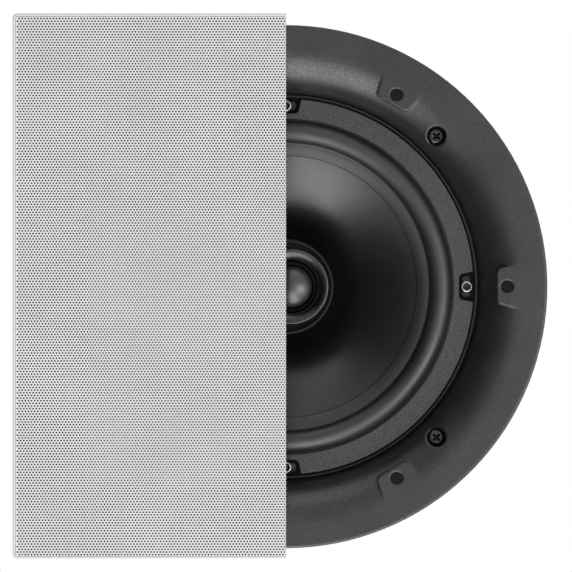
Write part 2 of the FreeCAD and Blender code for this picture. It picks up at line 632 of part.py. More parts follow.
revolved(bezel, "flange_back", [
    ("barrel_radius", "barrel_height + flange_lip"),
    ("barrel_radius", "0"),
    ("recess_inner", "0"),
    ("recess_inner", "flange_skin - flange_thickness"),
    ("flange_radius - flange_lip", "flange_skin - flange_thickness"),
    ("flange_radius - flange_lip", "0"),
    ("flange_radius + flange_lip", "0"),
    ("flange_radius + flange_lip", "barrel_height + flange_lip"),
], "Groove")
rib_sketch = sketch_on(bezel, "flange_rib_outline", "XY_Plane", "flange_skin - flange_thickness")
outline(rib_sketch, box_corners("recess_inner - recess_shift", "flange_radius - flange_lip / 2",
                                "-rib_width / 2", "rib_width / 2"))
flange_rib = extruded(bezel, "flange_rib", rib_sketch, "flange_thickness - flange_skin")
around(bezel, "flange_ribs", [flange_rib], "rib_count")
recess_sketch = sketch_on(bezel, "clamp_recess_outline", "XY_Plane", "clamp_seat", "clamp_first_angle")
circle(recess_sketch, "clamp_circle", "0", "clamp_recess_radius")
clamp_recess = extruded(bezel, "clamp_recess", recess_sketch, "clamp_seat + flange_thickness", "Pocket",
                        upward=False)
clamp_hole = round_bar(bezel, "clamp_hole", "clamp_circle", "0", "clamp_shank_radius + shank_fit",
                       "clamp_seat", "clamp_floor + clamp_boss_wall", "Pocket", "clamp_first_angle")
around(bezel, "clamp_recesses", [clamp_recess, clamp_hole], "clamp_count")
driver_boss = round_bar(bezel, "driver_boss", "driver_screw_circle", "0", "driver_boss_radius",
                        "seat_z + ledge_thickness / 2", "ledge_thickness / 2 + driver_boss_height")
driver_pilot = round_bar(bezel, "driver_pilot", "driver_screw_circle", "0", "driver_shank_radius + pilot_fit",
                         "seat_z", "driver_shank_length - basket_rim + pilot_spare", "Pocket")
around(bezel, "driver_bosses", [driver_boss, driver_pilot], "driver_screw_count")
magnet_pocket = round_bar(bezel, "magnet_pocket", "grille_magnet_circle", "0",
                          "grille_magnet_radius + magnet_fit", "-flange_thickness",
                          "grille_magnet_recess + grille_magnet_height", "Pocket")
around(bezel, "magnet_pockets", [magnet_pocket], "pad_count")

# Grille magnets: one disc in each pad
magnet_disc = new_body("grille_magnet")
round_bar(magnet_disc, "disc", "0", "0", "grille_magnet_radius", "grille_magnet_recess - flange_thickness",
          "grille_magnet_height")
grouped("grille_magnets", magnet_disc, ring_spots("pad_count", "grille_magnet_circle"))


def cross_pocket(body, level):
    """The cross recess in a screw's head."""
    sketch = sketch_on(body, "cross_outline", "XY_Plane", level)
    long, wide = "cross_length / 2", "cross_width / 2"
    quarter = [(long, f"-{wide}"), (long, wide), (wide, wide)]
    corners = list(quarter)
    for _ in range(3):
        quarter = [(y[1:] if y.startswith("-") else f"-{y}", x) for x, y in quarter]
        corners += quarter
    outline(sketch, corners)
    extruded(body, "cross", sketch, "cross_depth", "Pocket")


# Clamps: each screw stands in its recess, and its dog is at the far end of it, stowed along the rim
for number in range(round(value("clamp_count"))):
    angle = f"clamp_first_angle + 360 / clamp_count * {number}"
    screw = new_body(f"clamp_screw_{number + 1}")
    head_z = "clamp_seat - head_gap - clamp_head_height"
    revolved(screw, "screw", [
        ("0", head_z),
        ("clamp_head_radius - clamp_head_edge", head_z),
        ("clamp_head_radius", f"{head_z} + clamp_head_edge", "clamp_head_edge", 1),
        ("clamp_head_radius", "clamp_seat - head_gap"),
        ("clamp_shank_radius", "clamp_seat - head_gap"),
        ("clamp_shank_radius", "screw_end - shank_fit"),
        ("clamp_shank_radius - shank_fit", "screw_end"),
        ("0", "screw_end"),
    ])
    cross_pocket(screw, head_z)
    set_about(screw, "clamp_circle", angle)

    dog = new_body(f"clamp_dog_{number + 1}")
    round_bar(dog, "hub", "0", "0", "dog_hub_radius", "0", "dog_hub_height")
    arm_sketch = sketch_on(dog, "arm_outline", "XZ_Plane")
    outline(arm_sketch, [
        ("0", "dog_step"),
        ("dog_reach - dog_foot", "dog_step"),
        ("dog_reach - dog_foot", "0"),
        ("dog_reach", "0"),
        ("dog_reach", "dog_tip"),
        ("dog_hub_radius", "dog_step + dog_arm"),
        ("0", "dog_step + dog_arm"),
    ])
    extruded(dog, "arm", arm_sketch, "dog_width", both_ways=True)
    round_bar(dog, "bore", "0", "0", "clamp_shank_radius + dog_fit", "0", "dog_hub_height", "Pocket")
    set_about(dog, "clamp_circle", angle, "board_thickest", "dog_stowed")

# Basket: one pressing with a flat rim that is turned up at its edge, a wall with windows, the spider's
# seat and a cup on the motor
basket = new_body("driver_basket")
revolved(basket, "pressing", [
    ("mouth_radius", "rim_z"),
    ("basket_radius - basket_lip", "rim_z"),
    ("basket_radius - basket_lip", "rim_z - lip_height"),
    ("basket_radius", "rim_z - lip_height"),
    ("basket_radius", "seat_z"),
    ("shoulder_radius", "seat_z"),
    ("well_radius + basket_wall", "spider_z + basket_wall"),
    ("spider_inner + basket_wall", "spider_z + basket_wall"),
    ("cup_radius + basket_wall", "floor_z"),
    ("gap_radius + coil_gap", "floor_z"),
    ("gap_radius + coil_gap", "floor_z - basket_wall"),
    ("cup_radius", "floor_z - basket_wall"),
    ("spider_inner", "spider_z"),
    ("well_radius", "spider_z"),
    ("mouth_radius", "seat_z"),
])
window_sketch = sketch_on(basket, "window_outline", "XY_Plane", "seat_z")
outline(window_sketch, rounded_sector("window_inner", "window_outer", "window_angle / 2", "window_round"))
window = extruded(basket, "window", window_sketch, "spider_z - seat_z", "Pocket")
around(basket, "windows", [window], "window_count")
slot_sketch = sketch_on(basket, "screw_slot_outline", "XY_Plane", "rim_z")
slot_in, slot_out = (f"driver_screw_circle {sign} slot_half" for sign in "-+")
outline(slot_sketch, rounded_box(slot_in, slot_out, "-slot_length / 2", "slot_length / 2", "slot_corner"))
screw_slot = extruded(basket, "screw_slot", slot_sketch, "basket_rim", "Pocket")
around(basket, "screw_slots", [screw_slot], "driver_screw_count")

# Trim ring: covers the glued edge of the surround, with a notch round each screw
trim = new_body("trim_ring")
revolved(trim, "ring", [
    ("trim_inner", "trim_z + trim_edge"),
    ("trim_inner + trim_edge", "trim_z", "trim_edge", 1),
    ("trim_outer - trim_edge", "trim_z"),
    ("trim_outer", "trim_z + trim_edge", "trim_edge", 1),
    ("trim_outer", "rim_z"),
    ("surround_outer + glue_gap", "rim_z"),
    ("surround_outer + glue_gap", "roll_z"),
    ("trim_inner", "roll_z"),
])
notch_sketch = sketch_on(trim, "notch_outline", "XY_Plane", "rim_z")
outline(notch_sketch, [
    ("trim_outer + trim_edge", "-notch_mouth / 2"),
    ("trim_outer + trim_edge", "notch_mouth / 2"),
    ("notch_radius + notch_corner", "notch_width / 2"),
    ("notch_radius", "notch_width / 2 - notch_corner", "notch_corner", 1),
    ("notch_radius", "notch_corner - notch_width / 2"),
    ("notch_radius + notch_corner", "-notch_width / 2", "notch_corner", 1),
])
notch = extruded(trim, "notch", notch_sketch, "rim_z - trim_z + trim_edge", "Pocket", False)
around(trim, "notches", [notch], "driver_screw_count")

# Driver screws: through the basket's rim into the bosses of the bezel
driver_screw = new_body("driver_screw")
socket_z = "rim_z - driver_head_height"
revolved(driver_screw, "screw", [
    ("0", socket_z),
    ("driver_head_radius - driver_head_edge", socket_z),
    ("driver_head_radius", f"{socket_z} + driver_head_edge", "driver_head_edge", 1),
    ("driver_head_radius", "rim_z"),
    ("driver_shank_radius", "rim_z"),
    ("driver_shank_radius", "rim_z + driver_shank_length - driver_head_edge"),
    ("driver_shank_radius - driver_head_edge", "rim_z + driver_shank_length"),
    ("0", "rim_z + driver_shank_length"),
])
socket_sketch = sketch_on(driver_screw, "socket_outline", "XY_Plane", socket_z)
outline(socket_sketch, polygon("driver_socket"))
extruded(driver_screw, "socket", socket_sketch, "socket_depth", "Pocket")
grouped("driver_screws", driver_screw, ring_spots("driver_screw_count", "driver_screw_circle"))

# Surround: a half roll of rubber, glued to the basket's rim outside and to the cone inside
surround = new_body("cone_surround")
revolved(surround, "rubber", [
    ("lip_inner", "roll_z + edge_fall"),
    ("roll_inner_radius", "roll_z"),
    ("roll_outer_radius", "roll_z", "roll_bow", 1),
    ("surround_outer", "roll_z"),
    ("surround_outer", "rim_z"),
    ("roll_outer_radius - surround_thickness", "rim_z"),
    ("roll_outer_radius - surround_thickness", "roll_z"),
    ("roll_inner_radius + surround_thickness", "roll_z", "inner_bow", -1),
    ("roll_inner_radius + surround_thickness", "rim_z"),
    ("roll_inner_radius", "rim_z"),
    ("lip_inner", "bow_start"),
])

# Cone: slanted glued edge, flared body and a collar round the former
cone = new_body("cone")
revolved(cone, "sheet", [
    ("roll_inner_radius", "rim_z"),
    ("roll_inner_radius", "rim_z + cone_thickness"),
    ("lip_inner", "bow_start + cone_thickness"),
    ("neck_radius + cone_thickness", "neck_z + cone_thickness", "cone_bow", -1),
    ("neck_radius + cone_thickness", "neck_z + neck_height"),
    ("neck_radius", "neck_z + neck_height"),
    ("neck_radius", "neck_z"),
    ("lip_inner", "bow_start", "cone_bow", 1),
])

# Coil: a paper former glued in the cone's neck, with the winding at its far end
former = new_body("coil_former")
revolved(former, "tube", box_corners("former_radius - former_wall", "former_radius", "former_z",
                                     "former_end"))
winding = new_body("coil_winding")
revolved(winding, "wire", box_corners("former_radius", "former_radius + winding_thickness", "winding_z",
                                      "former_end"))

# Spider: pleated cloth between the former and its seat in the basket
spider = new_body("spider")
pleats = ["spider_z - spider_thickness", "spider_z"]
inner_flat = "neck_radius + spider_thickness"
outer_flat = "spider_inner"
crests = []
steps = 2 * round(value("spider_waves"))
for step in range(1, steps):
    place = f"{inner_flat} + ({outer_flat} - {inner_flat}) * {step} / (2 * spider_waves)"
    rise = "spider_wave" if step % 2 else "-spider_wave"
    crests.append((place, rise))
front_side = [(place, f"{pleats[0]} - ({rise}) / 2") for place, rise in crests]
back_side = [(place, f"{pleats[1]} - ({rise}) / 2") for place, rise in reversed(crests)]
revolved(spider, "cloth", [
    ("neck_radius", pleats[0]), (inner_flat, pleats[0]), *front_side, (outer_flat, pleats[0]),
    ("spider_radius", pleats[0]), ("spider_radius", pleats[1]), (outer_flat, pleats[1]), *back_side,
    (inner_flat, pleats[1]), ("neck_radius", pleats[1]),
])

# Motor: the front plate, the ferrite ring and the yoke are glued in a stack
front_plate = new_body("front_plate")
revolved(front_plate, "plate", box_corners("gap_radius", "plate_radius", "floor_z", "ferrite_z"))
ferrite = new_body("ferrite_ring")
revolved(ferrite, "ring", [
    ("ferrite_bore", "ferrite_z"), ("ferrite_radius - ferrite_edge", "ferrite_z"),
    ("ferrite_radius", "ferrite_z + ferrite_edge"), ("ferrite_radius", "yoke_z - ferrite_edge"),
    ("ferrite_radius - ferrite_edge", "yoke_z"), ("ferrite_bore", "yoke_z"),
])
yoke = new_body("back_yoke")
revolved(yoke, "turning", [
    ("post_radius + post_fit", "pole_z"), ("pole_radius", "pole_z"), ("pole_radius", "yoke_z"),
    ("plate_radius", "yoke_z"), ("plate_radius", "back_z - yoke_edge"),
    ("plate_radius - yoke_edge", "back_z"), ("post_radius + post_fit", "back_z"),
])

# Post: stands on the pole, carries the small cup and is held by a nut behind the motor
post = new_body("tweeter_post")
revolved(post, "turning", [
    ("post_bore", "post_front"), ("shoulder_post", "post_front"), ("shoulder_post", "pole_z"),
    ("post_radius", "pole_z"), ("post_radius", "post_end"), ("post_bore", "post_end"),
])
nut = new_body("post_nut")
nut_sketch = sketch_on(nut, "nut_outline", "XY_Plane", "back_z")
outline(nut_sketch, polygon("nut_flats"))
circle(nut_sketch, "0", "0", "post_radius + post_fit")
extruded(nut, "nut", nut_sketch, "nut_height")

# High-note unit: cup, face ring, dome and a small motor inside
cup = new_body("tweeter_cup")
revolved(cup, "moulding", [
    ("cup_bore", "tweeter_z + cup_edge"),
    ("cup_bore + cup_edge", "tweeter_z", "cup_edge", 1),
    ("tweeter_radius - cup_edge", "tweeter_z"),
    ("tweeter_radius", "tweeter_z + cup_edge", "cup_edge", 1),
    ("tweeter_radius", "tweeter_back - tweeter_round"),
    ("tweeter_radius - tweeter_round", "tweeter_back", "tweeter_round", 1),
    ("post_bore", "tweeter_back"),
    ("post_bore", "skin_z"),
    ("cup_bore", "skin_z"),
])
round_bar(cup, "motor_pocket", "face_shift", "0", "face_radius", "skin_z", "small_back - skin_z", "Pocket")
face = new_body("tweeter_waveguide")
revolved(face, "moulding", [
    ("horn_radius", "skin_z"),
    ("horn_radius", "face_z + horn_depth"),
    ("face_radius - face_edge", "face_z"),
    ("face_radius", "face_z + face_edge", "face_edge", 1),
    ("face_radius", "skin_z"),
])
skin = new_body("tweeter_diaphragm")
revolved(skin, "cloth", [
    ("0", "skin_z - dome_height"),
    ("dome_radius", "skin_z", "dome_bow", 1),
    ("horn_radius", "skin_z", "small_bow", 1),
    ("skin_radius", "skin_z"),
    ("skin_radius", "skin_back"),
    ("horn_radius", "skin_back"),
    ("dome_radius", "skin_back", "small_bow", -1),
    ("0", "skin_back - dome_height", "dome_bow", -1),
])
small_coil = new_body("tweeter_coil")
revolved(small_coil, "wire", box_corners("dome_radius - dome_coil_wall", "dome_radius", "skin_back",
                                         "skin_back + dome_coil_height"))
small_plate = new_body("tweeter_plate")
round_bar(small_plate, "plate", "0", "0", "small_pole", "skin_back + dome_gap", "dome_plate")
small_magnet = new_body("tweeter_magnet")
round_bar(small_magnet, "disc", "0", "0", "small_pole - dome_gap", "skin_back + dome_gap + dome_plate",
          "dome_magnet")
small_yoke = new_body("tweeter_yoke")
revolved(small_yoke, "pot", [
    ("0", "small_floor"), ("small_bore", "small_floor"), ("small_bore", "skin_back"),
    ("face_radius - glue_gap", "skin_back"), ("face_radius - glue_gap", "small_back"), ("0", "small_back"),
])
for item in (face, skin, small_coil, small_plate, small_magnet, small_yoke):
    item.setExpression("Placement.Base.x", bound("face_shift"))

# Filter tray: a cap over the yoke's edge, with four bosses for the board
tray = new_body("crossover_tray")
revolved(tray, "cap", [
    ("tray_hole", "back_z"), ("plate_radius + tray_fit", "back_z"),
    ("plate_radius + tray_fit", "back_z - tray_grip"),
    ("tray_outer", "back_z - tray_grip"), ("tray_outer", "tray_z"), ("tray_hole", "tray_z"),
])
board_spots = [(f"{across}screw_x", f"{along}screw_y") for across in ("", "-") for along in ("", "-")]
boss_sketch = sketch_on(tray, "boss_outlines", "XY_Plane", "tray_z - tray_floor / 2")
for across, along in board_spots:
    circle(boss_sketch, across, along, "board_boss")
extruded(tray, "bosses", boss_sketch, "board_z - tray_z + tray_floor / 2")
boss_holes = sketch_on(tray, "boss_holes_outlines", "XY_Plane", "board_z")
for across, along in board_spots:
    circle(boss_holes, across, along, "board_shank + pilot_fit")
extruded(tray, "boss_holes", boss_holes, "board_screw_length - board_sheet + pilot_spare", "Pocket", False)

# Filter board and its screws
board = new_body("crossover_board")
board_sketch = sketch_on(board, "board_outline", "XY_Plane", "board_z")
outline(board_sketch, rounded_box("-board_length / 2", "board_length / 2", "-board_width / 2",
                                  "board_width / 2", "board_corner"))
for across, along in board_spots:
    circle(board_sketch, across, along, "board_shank + shank_fit")
extruded(board, "sheet", board_sketch, "board_sheet")
board_screw = new_body("board_screw")
revolved(board_screw, "screw", [
    ("0", "board_top - board_screw_length"), ("board_shank", "board_top - board_screw_length"),
    ("board_shank", "board_top"), ("board_head", "board_top"),
    ("board_head", "board_top + board_head_height / 2"),
    ("board_head - board_head_height / 2", "board_top + board_head_height", "board_head_height / 2", 1),
    ("0", "board_top + board_head_height"),
])
grouped("board_screws", board_screw,
        [Placement(Vector(value(across), value(along), 0), Rotation()) for across, along in board_spots])



def wire_ends(body, length, inset, height):
    """The wire out of each end of a part that lies along its body's Z, bent down to the board."""
    for sign, end in (("-", "low"), ("", "high")):
        sketch = sketch_on(body, f"wire_{end}", "YZ_Plane", "-lead_radius")
        outer, inner = f"{sign}({length} / 2 + lead_reach)", f"{sign}({length} / 2 - {inset})"
        bend = f"{sign}({length} / 2 + lead_reach - 2 * lead_radius)"
        foot = f"-({height} + seat_gap)"
        outline(sketch, [
            (foot, outer), ("lead_radius", outer), ("lead_radius", inner),
            ("-lead_radius", inner), ("-lead_radius", bend), (foot, bend),
        ])
        extruded(body, f"wire_end_{end}", sketch, "2 * lead_radius")


# Filter parts: a film capacitor lying down, an inductor on its bobbin and a cement resistor
capacitor = new_body("film_capacitor")
revolved(capacitor, "roll", [
    ("0", "-capacitor_length / 2"),
    ("capacitor_radius - capacitor_edge", "-capacitor_length / 2"),
    ("capacitor_radius", "capacitor_edge - capacitor_length / 2", "capacitor_edge", 1),
    ("capacitor_radius", "capacitor_length / 2 - capacitor_edge"),
    ("capacitor_radius - capacitor_edge", "capacitor_length / 2", "capacitor_edge", 1),
    ("0", "capacitor_length / 2"),
])
wire_ends(capacitor, "capacitor_length", "capacitor_edge", "capacitor_radius")

bobbin = new_body("inductor_bobbin")
spool_z = "board_top + seat_gap"
revolved(bobbin, "spool", [
    ("coil_core_bore", spool_z),
    ("coil_spool_radius", spool_z),
    ("coil_spool_radius", f"{spool_z} + coil_flange"),
    ("coil_core_radius", f"{spool_z} + coil_flange"),
    ("coil_core_radius", f"{spool_z} + coil_height - coil_flange"),
    ("coil_spool_radius", f"{spool_z} + coil_height - coil_flange"),
    ("coil_spool_radius", f"{spool_z} + coil_height"),
    ("coil_core_bore", f"{spool_z} + coil_height"),
])
coil = new_body("inductor_winding")
revolved(coil, "wire", box_corners("coil_core_radius + glue_gap", "coil_wire_radius",
                                   f"{spool_z} + coil_flange + glue_gap",
                                   f"{spool_z} + coil_height - coil_flange - glue_gap"))
for item in (bobbin, coil):
    item.setExpression("Placement.Base.x", bound("coil_x"))
    item.setExpression("Placement.Base.y", bound("coil_y"))

resistor = new_body("crossover_resistor")
resistor_sketch = sketch_on(resistor, "resistor_outline", "YZ_Plane", "-resistor_width / 2")
outline(resistor_sketch, box_corners("-resistor_height / 2", "resistor_height / 2", "-resistor_length / 2",
                                     "resistor_length / 2"))
extruded(resistor, "ceramic", resistor_sketch, "resistor_width")
wire_ends(resistor, "resistor_length", "lead_reach", "resistor_height / 2")
for item, name, half_height in ((capacitor, "capacitor", "capacitor_radius"),
                                (resistor, "resistor", "resistor_height / 2")):
    item.Placement.Rotation = Rotation(Vector(1, 1, 1), 120)
    item.setExpression("Placement.Base.x", bound(f"{name}_x"))
    item.setExpression("Placement.Base.y", bound(f"{name}_y"))
    item.setExpression("Placement.Base.z", bound(f"board_top + seat_gap + {half_height}"))

# Push terminals: a block with two pockets, each with a sprung button and a hole for the wire
block = new_body("terminal_block")
block_sketch = sketch_on(block, "block_outline", "XY_Plane", "board_top + seat_gap")
outline(block_sketch, box_corners("-block_length / 2", "block_length / 2", "-block_width / 2",
                                  "block_width / 2"))
extruded(block, "block", block_sketch, "block_height - seat_gap")
block_top = value("block_z - seat_gap")
softened(block, "block_bevel", lambda edge: edge.BoundBox.ZMin > block_top, "block_edge", "Chamfer")
pocket_half = "(button_side / 2 + button_fit)"
pocket_sketch = sketch_on(block, "pocket_outlines", "XY_Plane", "block_z")
wire_sketch = sketch_on(block, "wire_hole_outlines", "XZ_Plane")
for sign in ("-", ""):
    middle = f"{sign}button_pitch / 2"
    outline(pocket_sketch, box_corners(f"{middle} - {pocket_half}", f"{middle} + {pocket_half}",
                                       f"-{pocket_half}", pocket_half))
    circle(wire_sketch, middle, "pocket_z + wire_hole + spring_height / 2", "wire_hole")
extruded(block, "pockets", pocket_sketch, "block_z - pocket_z", "Pocket", False)
extruded(block, "wire_holes", wire_sketch, "block_width", "Pocket", False)
block.setExpression("Placement.Base.x", bound("block_x"))
block.setExpression("Placement.Base.y", bound("block_y"))
for sign, name in (("-", "positive"), ("", "negative")):
    button = new_body(f"terminal_button_{name}")
    button_sketch = sketch_on(button, "button_outline", "XY_Plane", "button_z")
    outline(button_sketch, box_corners("-button_side / 2", "button_side / 2", "-button_side / 2",
                                       "button_side / 2"))
    extruded(button, "button", button_sketch, "block_z + button_stand - button_z")
    button_top = value("block_z + button_stand - seat_gap")
    softened(button, "button_bevel", lambda edge: edge.BoundBox.ZMin > button_top, "button_edge", "Chamfer")

    spring = new_body(f"terminal_spring_{name}")
    leaf_sketch = sketch_on(spring, "leaf_outline", "XZ_Plane")
    half = "spring_width / 2"
    low_leaf = "pocket_z + seat_gap"
    top_leaf = "pocket_z + spring_height"
    outline(leaf_sketch, [
        (f"-{half}", low_leaf), (half, low_leaf), (half, f"{low_leaf} + spring_leaf"),
        (f"-{half} + spring_leaf", top_leaf), (f"-{half}", f"{top_leaf} - spring_leaf"),
        (f"{half} - 3 * spring_leaf", f"{low_leaf} + spring_leaf"), (f"-{half}", f"{low_leaf} + spring_leaf"),
    ])
    extruded(spring, "leaf", leaf_sketch, "spring_width", both_ways=True)
    for item in (button, spring):
        item.setExpression("Placement.Base.x", bound(f"block_x + {sign}button_pitch / 2"))
        item.setExpression("Placement.Base.y", bound("block_y"))

# Grille cloth: one flat sheet between the perforated steel and the flange
scrim = document.addObject("Part::Box", "grille_scrim")
scrim.Label = "grille_scrim"
scrim.setExpression("Length", bound("tray_half - scrim_inset + grille_cut"))
scrim.setExpression("Width", bound("2 * (tray_half - scrim_inset)"))
scrim.setExpression("Height", bound("scrim_thickness"))
scrim.setExpression("Placement.Base.x", bound("scrim_inset - tray_half"))
scrim.setExpression("Placement.Base.y", bound("scrim_inset - tray_half"))
scrim.setExpression("Placement.Base.z", bound("cloth_z"))
parts.append(scrim)

# Grille: the folded edge and the perforated panel of one sheet, cut along one line
grille_edge = new_body("grille_edge")
parts.remove(grille_edge)
edge_sketch = sketch_on(grille_edge, "edge_outline", "XY_Plane", "grille_z")
outline(edge_sketch, rounded_box("-grille_half", "grille_half", "-grille_half", "grille_half",
                                 "grille_corner"))
extruded(grille_edge, "sheet", edge_sketch, "grille_fold")
hollow_sketch = sketch_on(grille_edge, "hollow_outline", "XY_Plane", "grille_z")
outline(hollow_sketch, rounded_box("-tray_half", "tray_half", "-tray_half", "tray_half",
                                   "(grille_corner - grille_sheet)"))
extruded(grille_edge, "hollow", hollow_sketch, "grille_fold", "Pocket")
cut_sketch = sketch_on(grille_edge, "cut_outline", "XY_Plane", "grille_z")
outline(cut_sketch, box_corners("grille_cut", "2 * grille_half", "-2 * grille_half", "2 * grille_half"))
extruded(grille_edge, "cut", cut_sketch, "grille_fold", "Pocket")


def hole_rows():
    """The middles of the holes, in staggered rows between the folded edge and the cut line."""
    pitch = value("hole_pitch")
    row_step = pitch * math.sqrt(3) / 2
    field = value("tray_half - hole_border - hole_flats / 2")
    stop = min(field, value("grille_cut - hole_flats / 2"))
    rows_each_way = int(field / row_step)
    for row in range(-rows_each_way, rows_each_way + 1):
        first = -field + pitch / 2 * (row % 2)
        for number in range(int((stop - first) / pitch) + 1):
            yield Vector(first + number * pitch, row * row_step, 0)


level = Vector(0, 0, value("grille_z"))
inside, stop_line = value("tray_half"), min(value("tray_half"), value("grille_cut"))
panel_corners = [(-inside, -inside), (stop_line, -inside), (stop_line, inside), (-inside, inside)]
hole_corner = Vector(0, value("hole_flats") / math.sqrt(3), 0)
hexagon = [Rotation(Vector(0, 0, 1), 60 * corner).multVec(hole_corner) for corner in range(7)]
wires = [Part.makePolygon([Vector(across, along, 0) + level for across, along in panel_corners], True)]
for middle in hole_rows():
    wires.append(Part.makePolygon([middle + corner + level for corner in hexagon]))
panel = document.addObject("Part::Feature", "perforated_panel")
panel.Shape = Part.makeFace(wires, "Part::FaceMakerBullseye").extrude(Vector(0, 0, value("grille_sheet")))
grille = document.addObject("Part::Fuse", "front_grille")
grille.Label = "front_grille"
grille.Base = grille_edge
grille.Tool = panel
grille.Refine = True
parts.append(grille)

# Every object has to have come out whole before any file is written
document.recompute()
for item in document.Objects:
    if {"Invalid", "Error"} & set(item.State):
        raise RuntimeError(f"{item.Name} failed: {item.State}")
for part in parts:
    if part.Shape.isNull() or not part.Shape.isValid():
        raise RuntimeError(f"{part.Label} has no valid shape")
os.makedirs("parts", exist_ok=True)
for part in parts:
    part.Shape.exportStep(f"parts/{part.Label}.step")
    print(part.Label, len(part.Shape.Solids), round(part.Shape.Volume, 1))
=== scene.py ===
import bmesh
import bpy
import math
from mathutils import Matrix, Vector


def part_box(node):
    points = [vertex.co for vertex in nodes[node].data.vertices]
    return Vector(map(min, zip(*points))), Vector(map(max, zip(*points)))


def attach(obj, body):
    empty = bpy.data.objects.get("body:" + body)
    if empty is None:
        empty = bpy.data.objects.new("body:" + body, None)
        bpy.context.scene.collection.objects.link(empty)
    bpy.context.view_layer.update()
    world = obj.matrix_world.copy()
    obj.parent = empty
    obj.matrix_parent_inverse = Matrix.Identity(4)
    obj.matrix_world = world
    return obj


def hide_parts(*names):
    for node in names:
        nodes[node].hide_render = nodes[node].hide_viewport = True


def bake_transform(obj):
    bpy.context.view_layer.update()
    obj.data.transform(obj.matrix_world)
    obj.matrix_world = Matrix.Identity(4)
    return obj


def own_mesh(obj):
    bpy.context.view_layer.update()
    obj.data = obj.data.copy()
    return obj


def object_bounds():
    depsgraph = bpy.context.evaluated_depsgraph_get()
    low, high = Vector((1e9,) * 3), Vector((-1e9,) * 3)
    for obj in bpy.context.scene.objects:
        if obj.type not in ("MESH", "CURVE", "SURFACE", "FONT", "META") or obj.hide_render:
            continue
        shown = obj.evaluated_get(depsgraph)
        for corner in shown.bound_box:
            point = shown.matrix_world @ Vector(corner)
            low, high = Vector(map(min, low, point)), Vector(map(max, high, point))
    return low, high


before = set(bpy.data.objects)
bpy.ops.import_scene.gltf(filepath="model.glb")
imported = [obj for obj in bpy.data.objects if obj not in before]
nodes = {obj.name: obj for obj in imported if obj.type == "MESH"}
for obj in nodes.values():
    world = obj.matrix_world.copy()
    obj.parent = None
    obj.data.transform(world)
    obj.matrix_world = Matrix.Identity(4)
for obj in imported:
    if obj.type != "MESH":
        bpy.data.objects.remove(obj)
cad_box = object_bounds()


# Bezel: one black moulding with a flared mouth, flat pads for the magnets and guides for the clamps.
# It is injection-moulded plastic from a spark-eroded mould, so its skin has a fine even grain.
def shader_of(material):
    """The sockets of a material's Principled shader."""
    return material.node_tree.nodes["Principled BSDF"].inputs


def new_finish(name):
    """A material with a bare Principled shader for a section to fill in."""
    material = bpy.data.materials.new(name)
    material.use_nodes = True
    return material, material.node_tree, shader_of(material)


def join(tree, what, socket):
    """Sets an input to a number or colour, or links it to a node's output."""
    if isinstance(what, bpy.types.NodeSocket):
        tree.links.new(what, socket)
    else:
        socket.default_value = what


def fill(tree, shader, sockets):
    """Sets or links several sockets of a shader."""
    for name, what in sockets.items():
        join(tree, what, shader[name])


def add(tree, kind, inputs, **settings):
    """Adds a shader node and returns its outputs."""
    node = tree.nodes.new("ShaderNode" + kind)
    for name, what in settings.items():
        setattr(node, name, what)
    for name, what in inputs.items():
        join(tree, what, node.inputs[name])
    return node.outputs


def calc(tree, operation, *values):
    """The output of a Math node."""
    return add(tree, "Math", dict(enumerate(values)), operation=operation)[0]


def spot_on(tree):
    """Where a point of the surface is, in metres in the frame."""
    return add(tree, "TexCoord", {})["Object"]


def noise(tree, scale, detail=2.0, roughness=0.5, spot=None):
    """Cloudy noise, so many clouds to a metre of surface."""
    if spot is None:
        spot = spot_on(tree)
    return add(tree, "TexNoise", {"Vector": spot, "Scale": scale, "Detail": detail,
                                  "Roughness": roughness})[0]


def shaded(tree, colour, value):
    """A colour made lighter or darker by a value around 1."""
    return add(tree, "HueSaturation", {"Value": value, "Color": colour})[0]


def bumped(tree, strength, depth, height, normal=None):
    """A normal that follows a height."""
    inputs = {"Strength": strength, "Distance": depth, "Height": height}
    if normal is not None:
        inputs["Normal"] = normal
    return add(tree, "Bump", inputs)[0]


def effect(name, takes, gives):
    """An empty node group with named inputs and outputs, for an effect that finishes share."""
    group = bpy.data.node_groups.new(name, "ShaderNodeTree")
    for label, kind in takes.items():
        group.interface.new_socket(label, in_out="INPUT", socket_type="NodeSocket" + kind)
    for label, kind in gives.items():
        group.interface.new_socket(label, in_out="OUTPUT", socket_type="NodeSocket" + kind)
    given = group.nodes.new("NodeGroupInput").outputs
    made = group.nodes.new("NodeGroupOutput").inputs
    return group, given, made


def placed(tree, group, inputs):
    """Puts a shared effect into a finish and returns its outputs."""
    node = tree.nodes.new("ShaderNodeGroup")
    node.node_tree = group
    for name, what in inputs.items():
        join(tree, what, node.inputs[name])
    return node.outputs


moulded_grain, given, made = effect(
    "moulded_grain", {"Colour": "Color", "Grain": "Float", "Roughness": "Float"},
    {"Colour": "Color", "Roughness": "Float", "Height": "Float", "Rubbed": "Float"})
grain = noise(moulded_grain, given["Grain"], detail=3.0)
cloud = noise(moulded_grain, 45.0)
speckle = calc(moulded_grain, "MULTIPLY_ADD", grain, 0.45, 0.65)
tone = calc(moulded_grain, "MULTIPLY_ADD", cloud, 0.25, speckle)
uneven = calc(moulded_grain, "SUBTRACT", cloud, grain)
rubbed = add(moulded_grain, "Math", {0: grain, 1: 5.0, 2: -2.1}, operation="MULTIPLY_ADD", use_clamp=True)[0]
join(moulded_grain, shaded(moulded_grain, given["Colour"], tone), made["Colour"])
join(moulded_grain, calc(moulded_grain, "MULTIPLY_ADD", uneven, 0.3, given["Roughness"]), made["Roughness"])
join(moulded_grain, grain, made["Height"])
join(moulded_grain, rubbed, made["Rubbed"])


